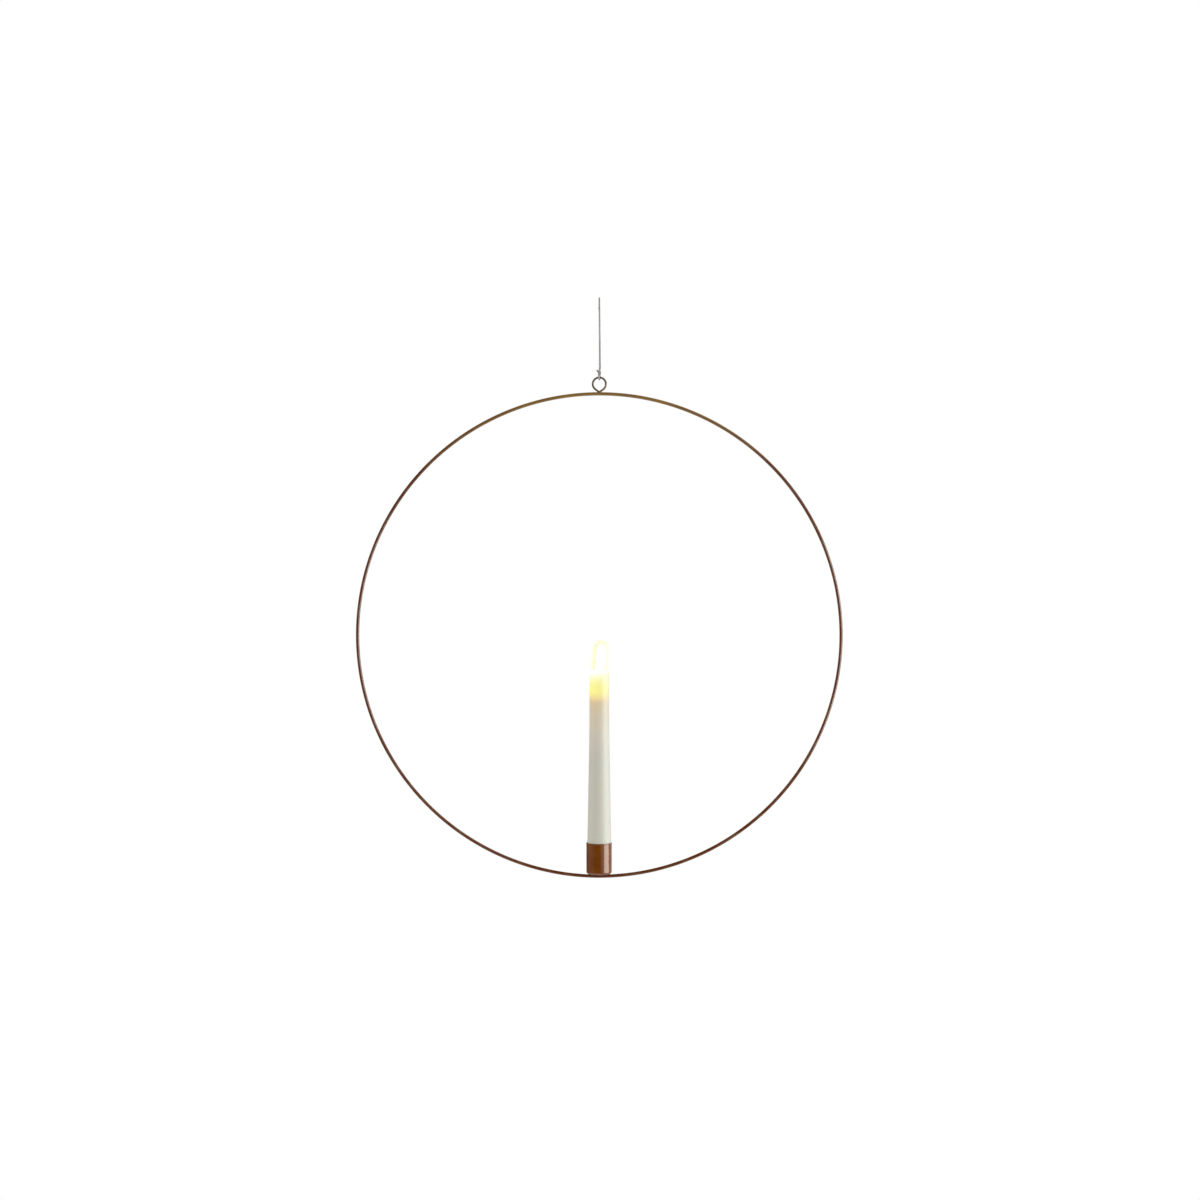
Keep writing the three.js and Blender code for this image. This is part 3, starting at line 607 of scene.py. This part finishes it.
def curve_through(knots, step=0.0003):
    """Even points, that step in metres apart, along a smooth curve through the knots, which are
    in millimetres. The fourth number of a knot is the string's width there, as a share."""
    spans = 40
    knots = [Vector(k) for k in knots]
    knots = [2 * knots[0] - knots[1], *knots, 2 * knots[-1] - knots[-2]]
    fine = []
    for a, b, c, d in zip(knots, knots[1:], knots[2:], knots[3:]):
        for i in range(spans):
            t = i / spans
            slope, bend, twist = c - a, 2 * a - 5 * b + 4 * c - d, 3 * b - a - 3 * c + d
            fine.append(0.5 * (2 * b + slope * t + bend * t * t + twist * t**3))
    fine.append(knots[-2])
    kept, gone = [fine[0]], 0.0
    for one, two in zip(fine, fine[1:]):
        gone += (two - one).xyz.length / 1000
        if gone >= step:
            kept.append(two)
            gone = 0.0
    kept[-1] = fine[-1]
    return [k.xyz / 1000 for k in kept], [k.w for k in kept]


loop_path, loop_widths = curve_through(
    [
        (0, leg_offset, -11, 0.9),
        (0, leg_offset, -10, 0.9),
        (0, leg_offset, -8.1, 0.9),
        (0, 1.3, -6.6, 0.9),
        (0, 2.65, -4, 0.9),
        (0, 3.05, -2.2, 0.9),
        (0, 2.16, -0.05, 0.9),
        (0, 0, 0.8, 0.9),
        (0, -2.16, -0.05, 0.9),
        (0, -3.05, -2.2, 0.9),
        (0, -2.65, -4, 0.9),
        (0, -1.3, -6.6, 0.9),
        (0, -leg_offset, -8.1, 0.9),
        (0, -leg_offset * 0.9, -9.6, 0.9),
        (0, -0.25, -10.8, 0.9),
    ]
)
seizing_path = []
for i in range(seizing_turns * seizing_steps + 1):
    a = 2 * math.pi * i / seizing_steps
    x, y = seizing_radius * math.cos(a), seizing_radius * math.sin(a)
    y += math.copysign(seizing_reach, y) * min(1, abs(y) / seizing_corner)
    z = seizing_foot + seizing_height * i / (seizing_turns * seizing_steps)
    seizing_path.append(Vector((x, y, z)) / 1000)
top_loop = twine_along("twine_loop", loop_path, loop_widths)
seizing = strand("loop_seizing", seizing_path, seizing_thread_radius, twine, sides=10)
for piece in (top_loop, seizing):
    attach(piece, "hang_loop")
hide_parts("string_top_loop")
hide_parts("hanging_string")
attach(string, "string")

# Hitch. The string's lower end goes down behind the eye's wire, up in front of it, and once
# round its own part, and the cut tail stands off to the left. Each row is a place in
# millimetres from the middle of the eye's top wire, and the width.
hitch_path, hitch_widths = curve_through(
    [
        (x, y, z + swing.z * 1000, width)
        for x, y, z, width in (
            (0, 0, 6.05, 1.25),
            (0.15, 0.15, 5.4, 1.1),
            (0.4, 0.38, 4.8, 0.92),
            (0.65, 0.5, 4.0, 0.92),
            (0.7, 0.6, 3.0, 0.9),
            (0.42, 0.95, 2.1, 0.86),
            (0.42, 1.56, 1.15, 0.95),
            (0.38, 1.82, 0, 0.95),
            (0.3, 1.56, -0.95, 0.95),
            (0.15, 0.9, -1.58, 0.95),
            (0, 0, -1.82, 0.95),
            (-0.15, -0.9, -1.58, 0.95),
            (-0.3, -1.56, -0.95, 0.95),
            (-0.38, -1.82, 0, 0.95),
            (-0.45, -1.56, 1.15, 0.95),
            (-0.48, -0.95, 2.1, 0.86),
            (-0.7, -0.7, 3.0, 0.9),
            (-0.5, -0.85, 3.9, 0.92),
            (0.6, -0.6, 4.5, 0.84),
            (1.05, 0.35, 4.8, 0.82),
            (0.6, 1.4, 5.05, 0.82),
            (-0.2, 1.6, 5.15, 0.82),
            (-0.95, 0.95, 5.15, 0.82),
            (-1.3, 0.1, 5.25, 0.8),
            (-1.6, -0.15, 5.6, 0.78),
            (-1.95, -0.15, 6.2, 0.78),
            (-2.25, -0.1, 6.9, 0.78),
        )
    ]
)
hitch = twine_along("twine_hitch", hitch_path, hitch_widths)
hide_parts("string_hitch")
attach(hitch, "hitch")

# Wax body. Ivory paraffin, moulded hollow over the battery tube, tapered and dipped once for
# a smooth skin. The light that shines through it down to the deck is a glow painted on its skin.
candle_base = Vector((0, 0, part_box("battery_cap")[0].z))
deck_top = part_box("led_deck")[1].z
wax_radius, wax_top_radius, wax_wall = 0.0111, 0.00915, 0.0016
wax_height = 0.1897
taper_foot, taper_end, taper_blend = 0.0284, 0.138, 0.016
wax_foot, wax_foot_round = 0.0025, 0.0007
wax_rim_foot = 0.1882
flame_seat = wax_height - 0.0054
seat_slope = 0.001


def dipped_wax():
    """Paraffin wax. It looks satin and soft, as light spreads under its skin, with faint ripples
    8 mm apart from dipping. Above the deck a painted glow stands in for the light inside: a yellow
    emission and a yellower skin, painted stronger on the left side than on the right, with a faint
    painted warmth that reaches far below. Low down the skin is a touch paler, as painted light."""
    cloud_size, ripple_size, grain_size = 0.009, 0.008, 0.0006
    glow_below, glow_above, glow_waver = 0.055, 0.03, 0.0012
    finish, tree = new_finish("dipped_ivory_wax")
    place = add(tree, "ShaderNodeTexCoord").outputs["Object"]
    height = add(tree, "ShaderNodeSeparateXYZ", {"Vector": place}).outputs["Z"]
    cloud = add(tree, "ShaderNodeTexNoise", {"Vector": place, "Scale": 1 / cloud_size, "Detail": 2})
    drift = add(
        tree,
        "ShaderNodeMapRange",
        {"Value": cloud.outputs["Fac"], "To Min": -glow_waver, "To Max": glow_waver},
    )
    level = add(tree, "ShaderNodeMath", {0: height, 1: drift.outputs["Result"]}, operation="ADD")
    lit = add(
        tree,
        "ShaderNodeMapRange",
        {
            "Value": level.outputs["Value"],
            "From Min": deck_top - glow_below,
            "From Max": deck_top + glow_above,
        },
    ).outputs["Result"]
    # Skin colour: painted yellower where the painted glow is, and a touch paler low down, as painted
    # light.
    skin = add(
        tree,
        "ShaderNodeValToRGB",
        {"Fac": lit},
        [
            (0.3, "ecece0"),
            (1.0, "ece8d4"),
            (0.5, "e8e6d8"),
            (0.65, "e8e2ce"),
            (0.75, "ebe6c0"),
            (0.88, "ebe8ca"),
        ],
    )
    # Painted glow: a yellow emission above the deck that fades to a faint warmth far below.
    painted_glow = add(
        tree,
        "ShaderNodeValToRGB",
        {"Fac": lit},
        [
            (0.0, "000000"),
            (1.0, "f0f0f0"),
            (0.24, "402522"),
            (0.49, "64481e"),
            (0.58, "6a5010"),
            (0.635, "785604"),
            (0.7, "aa8e00"),
            (0.76, "b2b000"),
            (0.82, "afaf00"),
            (0.89, "b4b678"),
            (0.95, "d0d0c0"),
        ],
    )
    # The painted glow is stronger on the left side and weaker on the right.
    side = add(tree, "ShaderNodeSeparateXYZ", {"Vector": place}).outputs["X"]
    share = add(
        tree,
        "ShaderNodeMapRange",
        {"Value": side, "From Min": -0.003, "From Max": 0.009, "To Min": 1.0, "To Max": 0.35},
    )
    ripple = add(tree, "ShaderNodeTexNoise", {"Vector": place, "Scale": 1 / ripple_size, "Detail": 1})
    grain = add(tree, "ShaderNodeTexNoise", {"Vector": place, "Scale": 1 / grain_size, "Detail": 3})
    relief = add(
        tree,
        "ShaderNodeMath",
        {0: grain.outputs["Fac"], 1: 0.15, 2: ripple.outputs["Fac"]},
        operation="MULTIPLY_ADD",
    )
    bump = add(
        tree,
        "ShaderNodeBump",
        {"Strength": 0.3, "Distance": 0.0002, "Height": relief.outputs["Value"]},
    )
    wax = add(
        tree,
        "ShaderNodeBsdfPrincipled",
        {
            "Base Color": skin.outputs["Color"],
            "Roughness": 0.48,
            "IOR": 1.44,
            "Subsurface Weight": 0.35,
            "Subsurface Radius": (1.0, 0.75, 0.45),
            "Subsurface Scale": 0.0025,
            "Emission Color": painted_glow.outputs["Color"],
            "Emission Strength": share.outputs["Result"],
            "Normal": bump.outputs["Normal"],
        },
    )
    add(tree, "ShaderNodeOutputMaterial", {"Surface": wax.outputs["BSDF"]})
    return finish


def wax_at(z):
    """Outer radius at a height above the base: straight in the cup, then a taper that runs out
    softly into the straight top."""
    drop, rise = wax_top_radius - wax_radius, taper_end - taper_foot
    r = wax_radius + drop * min(max((z - taper_foot) / rise, 0), 1)
    if abs(z - taper_end) < taper_blend:
        t = (z - taper_end + taper_blend) / (2 * taper_blend)
        below = wax_radius + drop * (rise - taper_blend) / rise
        r = (1 - t) ** 2 * below + (1 - (1 - t) ** 2) * wax_top_radius
    return r


wax_steps = 40
wax_heights = [taper_foot + (wax_rim_foot - taper_foot) * i / wax_steps for i in range(wax_steps + 1)]
wax_outline = [
    (wax_radius - wax_wall, wax_foot),
    *arc(wax_radius - wax_foot_round, wax_foot + wax_foot_round, wax_foot_round, -90, 0, 6),
    *[(wax_at(z), z) for z in wax_heights],
    (wax_top_radius, wax_height - 0.0006),
    (wax_top_radius - 0.00008, wax_height - 0.0003),
    (wax_top_radius - 0.00026, wax_height - 0.00008),
    (wax_top_radius - 0.00042, wax_height),
    (wax_top_radius - 0.0006, wax_height - 0.0001),
    (wax_top_radius - 0.0006, flame_seat),
    (wax_top_radius - wax_wall, flame_seat - seat_slope),
    *[(wax_at(z) - wax_wall, z) for z in reversed(wax_heights) if z < flame_seat - seat_slope],
]
wax = turned("wax_body", wax_outline, candle_base, dipped_wax())
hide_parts("wax_shell")
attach(wax, "candle")

# Flame bulb. A frosted cap moulded in clear plastic, blunt at the end, pushed into the mouth
# of the wax, where it leans a little to the right. Its light is painted: nested glowing forms
# stand in for it, a white core and round that a pale yellow green haze.
flame_low, flame_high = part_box("flame_bulb")
bulb_foot_radius, bulb_top_radius = 0.0083, 0.0081
bulb_dome, bulb_wall = 0.0095, 0.0009
bulb_lean = 0.055  # how far to the right for each metre up
neck_gap = 0.0003
neck_shoulder = 0.0008
lit_foot = 0.002  # how far under the wax's rim the forms of light begin


def frosted_skin():
    """Sand-blasted clear plastic. It looks milky with a yellow cast, and lets most of the light
    behind it through. A faint even glow is painted on it as emission."""
    frost_size, frost_share = 0.0004, 0.3
    finish, tree = new_finish("frosted_bulb_skin")
    place = add(tree, "ShaderNodeTexCoord").outputs["Object"]
    frost = add(tree, "ShaderNodeTexNoise", {"Vector": place, "Scale": 1 / frost_size, "Detail": 3})
    bump = add(
        tree, "ShaderNodeBump", {"Strength": 0.3, "Distance": 0.00005, "Height": frost.outputs["Fac"]}
    )
    tone = add(
        tree,
        "ShaderNodeValToRGB",
        {"Fac": frost.outputs["Fac"]},
        [(0.3, "ebecbc"), (0.7, "f2f2cc")],
    )
    skin = add(
        tree,
        "ShaderNodeBsdfPrincipled",
        {
            "Base Color": tone.outputs["Color"],
            "Roughness": 0.5,
            "IOR": 1.49,
            # Painted glow: a faint even emission on the skin.
            "Emission Color": colour("fcfcdc"),
            "Emission Strength": 0.34,
            "Normal": bump.outputs["Normal"],
        },
    )
    clear = add(tree, "ShaderNodeBsdfTransparent")
    mixed = add(
        tree,
        "ShaderNodeMixShader",
        {0: frost_share, 1: clear.outputs["BSDF"], 2: skin.outputs["BSDF"]},
    )
    add(tree, "ShaderNodeOutputMaterial", {"Surface": mixed.outputs["Shader"]})
    return finish


def lit_haze():
    """Painted light that stands in for what the bulb's wall scatters. It looks a thin pale green,
    painted yellower on the left side and whiter on the right, as the lamps light the right more."""
    haze_share = 0.16
    finish, tree = new_finish("haze_in_bulb")
    place = add(tree, "ShaderNodeTexCoord").outputs["Object"]
    side = add(tree, "ShaderNodeSeparateXYZ", {"Vector": place}).outputs["X"]
    # Painted light: the haze is yellower on the left side and whiter on the right.
    share = add(tree, "ShaderNodeMapRange", {"Value": side, "From Min": -0.006, "From Max": 0.006})
    tone = add(
        tree,
        "ShaderNodeValToRGB",
        {"Fac": share.outputs["Result"]},
        [(0.0, "f3f6a8"), (1.0, "fefef4")],
    )
    light = add(tree, "ShaderNodeEmission", {"Color": tone.outputs["Color"], "Strength": 1.0})
    clear = add(tree, "ShaderNodeBsdfTransparent")
    mixed = add(
        tree,
        "ShaderNodeMixShader",
        {0: haze_share, 1: clear.outputs["BSDF"], 2: light.outputs["Emission"]},
    )
    add(tree, "ShaderNodeOutputMaterial", {"Surface": mixed.outputs["Shader"]})
    return finish


def lit_core():
    """Painted light in the middle of the bulb. It looks plain white, too bright to show any form."""
    finish, tree = new_finish("lit_bulb_core")
    light = add(tree, "ShaderNodeEmission", {"Color": colour("fffefa"), "Strength": 2.8})
    add(tree, "ShaderNodeOutputMaterial", {"Surface": light.outputs["Emission"]})
    return finish


def bulb_outline(inset, foot_z, dome_steps):
    """Outer points of the bulb, drawn in by a wall, from its foot up to its crown."""
    side_steps = 12
    dome_foot = flame_high.z - candle_base.z - bulb_dome
    points = [(bulb_foot_radius - inset, foot_z)]
    for i in range(1, side_steps + 1):
        share = i / side_steps
        r = bulb_foot_radius + (bulb_top_radius - bulb_foot_radius) * share - inset
        points.append((r, wax_height + (dome_foot - wax_height) * share))
    for i in range(1, dome_steps + 1):
        a = (i / dome_steps) * math.pi / 2
        r = (bulb_top_radius - inset) * math.cos(a) if i < dome_steps else 0
        points.append((r, dome_foot + (bulb_dome - inset) * math.sin(a)))
    return points


def bulb_side(inset):
    """One side of the bulb's skin: its neck in the wax, and the bulb above the shoulder."""
    neck_radius = wax_top_radius - wax_wall - neck_gap - inset
    return [
        (neck_radius, flame_low.z - candle_base.z),
        (neck_radius, flame_seat - neck_shoulder),
        *bulb_outline(inset, flame_seat + neck_gap, dome_steps=16),
    ]


def lit_form(name, inset, finish):
    """One of the nested forms of light in the bulb, that far inside its skin."""
    foot = wax_height - lit_foot
    wall = [(0, foot), *bulb_outline(inset, foot, dome_steps=12)]
    return turned(name, wall, candle_base, finish, sides=48)


bulb_skin = [*bulb_side(0), *reversed(bulb_side(bulb_wall))]
bulb = turned("flame_bulb_skin", bulb_skin, candle_base, frosted_skin(), sides=64)
haze_light = lit_haze()
outer_haze = lit_form("flame_bulb_outer_haze", inset=0.0014, finish=haze_light)
inner_haze = lit_form("flame_bulb_inner_haze", inset=0.0028, finish=haze_light)
core = lit_form("flame_bulb_core", inset=0.0044, finish=lit_core())
for piece in (bulb, outer_haze, inner_haze, core):
    for corner in piece.data.vertices:
        corner.co.x += bulb_lean * max(corner.co.z - candle_base.z - flame_seat, 0)
    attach(piece, "candle")
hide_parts("flame_bulb")

# Light and its deck. A 5 mm warm LED stands on a moulded white disc, which keeps the light
# out of the wax below it.


def moulded(name, low, high, grain, roughness, depth=0.00003, **more):
    """A moulded or plated surface. It looks of one colour that drifts slightly between two
    tones, with a fine texture of that grain and depth in metres."""
    drift_size = grain / 0.08
    finish, tree = new_finish(name)
    place = add(tree, "ShaderNodeTexCoord").outputs["Object"]
    drift = add(tree, "ShaderNodeTexNoise", {"Vector": place, "Scale": 1 / drift_size, "Detail": 3})
    fine = add(tree, "ShaderNodeTexNoise", {"Vector": place, "Scale": 1 / grain, "Detail": 2})
    tone = add(
        tree, "ShaderNodeValToRGB", {"Fac": drift.outputs["Fac"]}, [(0.3, low), (0.7, high)]
    )
    bump = add(
        tree, "ShaderNodeBump", {"Strength": 0.4, "Distance": depth, "Height": fine.outputs["Fac"]}
    )
    body = add(
        tree,
        "ShaderNodeBsdfPrincipled",
        {
            "Base Color": tone.outputs["Color"],
            "Roughness": roughness,
            "Normal": bump.outputs["Normal"],
            **more,
        },
    )
    add(tree, "ShaderNodeOutputMaterial", {"Surface": body.outputs["BSDF"]})
    return finish


def dress(finish, *names):
    """Gives CAD pieces their finish."""
    for name in names:
        nodes[name].data.materials.clear()
        nodes[name].data.materials.append(finish)


# Warm epoxy of the LED, glossy and lit, and ABS moulded in a spark-eroded tool, which leaves a
# fine dull grain.
led_light = {"Emission Color": colour("ffe9a8"), "Emission Strength": 0.8}
epoxy = moulded("warm_led_epoxy", "ffe9b0", "fff3cc", grain=0.0008, roughness=0.15, **led_light)
dress(epoxy, "led")
white_abs = moulded("white_abs_eroded_grain", "dedcd4", "e8e6de", grain=0.0004, roughness=0.5)
dress(white_abs, "led_deck")

# Board and lead. A glass-epoxy disc under a satin green solder mask, with its chip under a
# shiny drop of black resin, fed by a red lead in soft PVC.
mask = moulded("green_solder_mask", "1f5a36", "2c7047", grain=0.0005, roughness=0.35)
dress(mask, "circuit_board")
resin = moulded("black_resin_drop", "141414", "222222", grain=0.0009, roughness=0.3)
dress(resin, "driver_chip")
insulation = moulded("red_pvc_insulation", "a3241f", "b8302a", grain=0.0006, roughness=0.42)
dress(insulation, "positive_lead")

# Battery tube, its contacts and the two AAA cells. The tube and cap are white ABS, the
# contacts nickel-plated spring steel, and the cells have a plain dark sleeve with a soft gloss.
dress(white_abs, "inner_tube", "battery_cap")
nickel = moulded(
    "nickel_plated_spring_steel", "bdbab2", "d0cdc6", grain=0.0005, roughness=0.28, Metallic=1.0
)
dress(nickel, "top_contact", "contact_strip", "contact_spring", "spring_plate")
sleeve = moulded(
    "plain_cell_sleeve", "2c3a42", "3b4c56", grain=0.0007, roughness=0.3, Metallic=0.3
)
dress(sleeve, "cell_upper", "cell_lower")

# Switch. Black acetal, slippery and a little glossy, under the cap. Its slider is pushed across
# with a fingernail.
acetal = moulded("black_acetal", "1a1a1b", "262627", grain=0.0004, roughness=0.38)
dress(acetal, "switch_body", "switch_slider")

# Floor. A pale sheet of paper far below the ring. It shows white to the camera, and gloss
# mirrors it a little greyer.
floor_level, floor_half = -4.5, 6.4
floor_lift, floor_in_gloss = 0.7, 0.35
corners = [(-1, -1), (1, -1), (1, 1), (-1, 1)]
sheet_points = [(x * floor_half, y * floor_half, floor_level) for x, y in corners]
floor = place_mesh("floor", sheet_points, [], [(0, 1, 2, 3)])
paper, tree = new_finish("pale_paper_floor")
ray = add(tree, "ShaderNodeLightPath").outputs
dim = add(tree, "ShaderNodeMath", {0: ray["Is Glossy Ray"], 1: floor_in_gloss}, operation="MULTIPLY")
seen = add(tree, "ShaderNodeMath", {0: ray["Is Camera Ray"], 1: dim.outputs[0]}, operation="ADD")
seen = add(
    tree,
    "ShaderNodeMath",
    {0: seen.outputs[0], 1: ray["Is Transmission Ray"]},
    operation="ADD",
    use_clamp=True,
)
lift = add(tree, "ShaderNodeMath", {0: seen.outputs[0], 1: floor_lift}, operation="MULTIPLY")
sheet = add(
    tree,
    "ShaderNodeBsdfPrincipled",
    {
        "Base Color": colour("e8e8e6"),
        "Roughness": 0.9,
        "Specular IOR Level": 0.0,
        "Emission Color": (1, 1, 1, 1),
        "Emission Strength": lift.outputs[0],
    },
)
add(tree, "ShaderNodeOutputMaterial", {"Surface": sheet.outputs["BSDF"]})
floor.data.materials.append(paper)

# Light. A soft box stands to the right and a little in front, and a wider one there shows only
# in gloss. The room adds a plain even light, fuller from behind, and it shows white to the
# camera. Gloss mirrors it light on the right, grey on the far left, and dim in front and behind.
softbox_distance = 2.3


def softbox(name, azimuth, rise, size, energy, tint):
    """A soft box that faces the hoop, that many degrees from the front to the right, and so far
    above its middle as a share of the distance. The energy is in watts."""
    lamp = bpy.data.objects.new(name, bpy.data.lights.new(name, "AREA"))
    bpy.context.scene.collection.objects.link(lamp)
    lamp.data.shape = "RECTANGLE"
    lamp.data.size, lamp.data.size_y = size
    lamp.data.energy, lamp.data.color = energy, tint
    side = Vector((math.sin(math.radians(azimuth)), -math.cos(math.radians(azimuth)), rise))
    lamp.location = hoop_centre + softbox_distance * side
    lamp.rotation_euler = side.to_track_quat("Z", "Y").to_euler()
    return lamp


shading = softbox("softbox", 80, 0.12, size=(1.7, 2.2), energy=17.5, tint=(0.92, 0.975, 1.0))
shading.visible_glossy = False
glint = softbox("softbox_glint", 73, -0.1, size=(2.2, 2.0), energy=74, tint=(1.0, 1.0, 0.93))
glint.visible_diffuse = False

room_in_front, room_behind = 0.55, 0.9
mirrored_behind = 0.2
world = bpy.data.worlds.new("room")
world.use_nodes = True
bpy.context.scene.world = world
tree = world.node_tree
tree.nodes.clear()
ray = add(tree, "ShaderNodeLightPath").outputs
direction = add(tree, "ShaderNodeTexCoord").outputs["Generated"]
forward = add(tree, "ShaderNodeSeparateXYZ", {"Vector": direction}).outputs["Y"]
level = add(
    tree,
    "ShaderNodeMapRange",
    {
        "Value": forward,
        "From Min": -1.0,
        "From Max": 1.0,
        "To Min": room_in_front,
        "To Max": room_behind,
    },
)
plain = add(
    tree, "ShaderNodeBackground", {"Color": colour("fffcf6"), "Strength": level.outputs["Result"]}
)
behind = add(
    tree,
    "ShaderNodeMapRange",
    {"Value": forward, "From Min": 0.75, "From Max": 0.97, "To Max": mirrored_behind},
)
to_right = add(tree, "ShaderNodeSeparateXYZ", {"Vector": direction}).outputs["X"]
across = add(tree, "ShaderNodeMapRange", {"Value": to_right, "From Min": -1.0, "From Max": 1.0})
sides = add(
    tree,
    "ShaderNodeValToRGB",
    {"Fac": across.outputs["Result"]},
    [
        (0.0, "a0a0a0"),
        (0.14, "484848"),
        (0.26, "1c1c1c"),
        (0.52, "1c1c1c"),
        (0.62, "505050"),
        (0.7, "d8d8d8"),
    ],
)
mirrored = add(
    tree,
    "ShaderNodeMath",
    {0: behind.outputs["Result"], 1: sides.outputs["Color"]},
    operation="MAXIMUM",
)
gloss = add(tree, "ShaderNodeBackground", {"Color": (1, 1, 1, 1), "Strength": mirrored.outputs[0]})
white = add(tree, "ShaderNodeBackground", {"Color": (1, 1, 1, 1), "Strength": 1.0})
seen = add(
    tree,
    "ShaderNodeMath",
    {0: ray["Is Camera Ray"], 1: ray["Is Transmission Ray"]},
    operation="ADD",
    use_clamp=True,
)
lit = add(
    tree,
    "ShaderNodeMixShader",
    {0: ray["Is Glossy Ray"], 1: plain.outputs["Background"], 2: gloss.outputs["Background"]},
)
both = add(
    tree,
    "ShaderNodeMixShader",
    {0: seen.outputs[0], 1: lit.outputs["Shader"], 2: white.outputs["Background"]},
)
add(tree, "ShaderNodeOutputWorld", {"Surface": both.outputs["Shader"]})
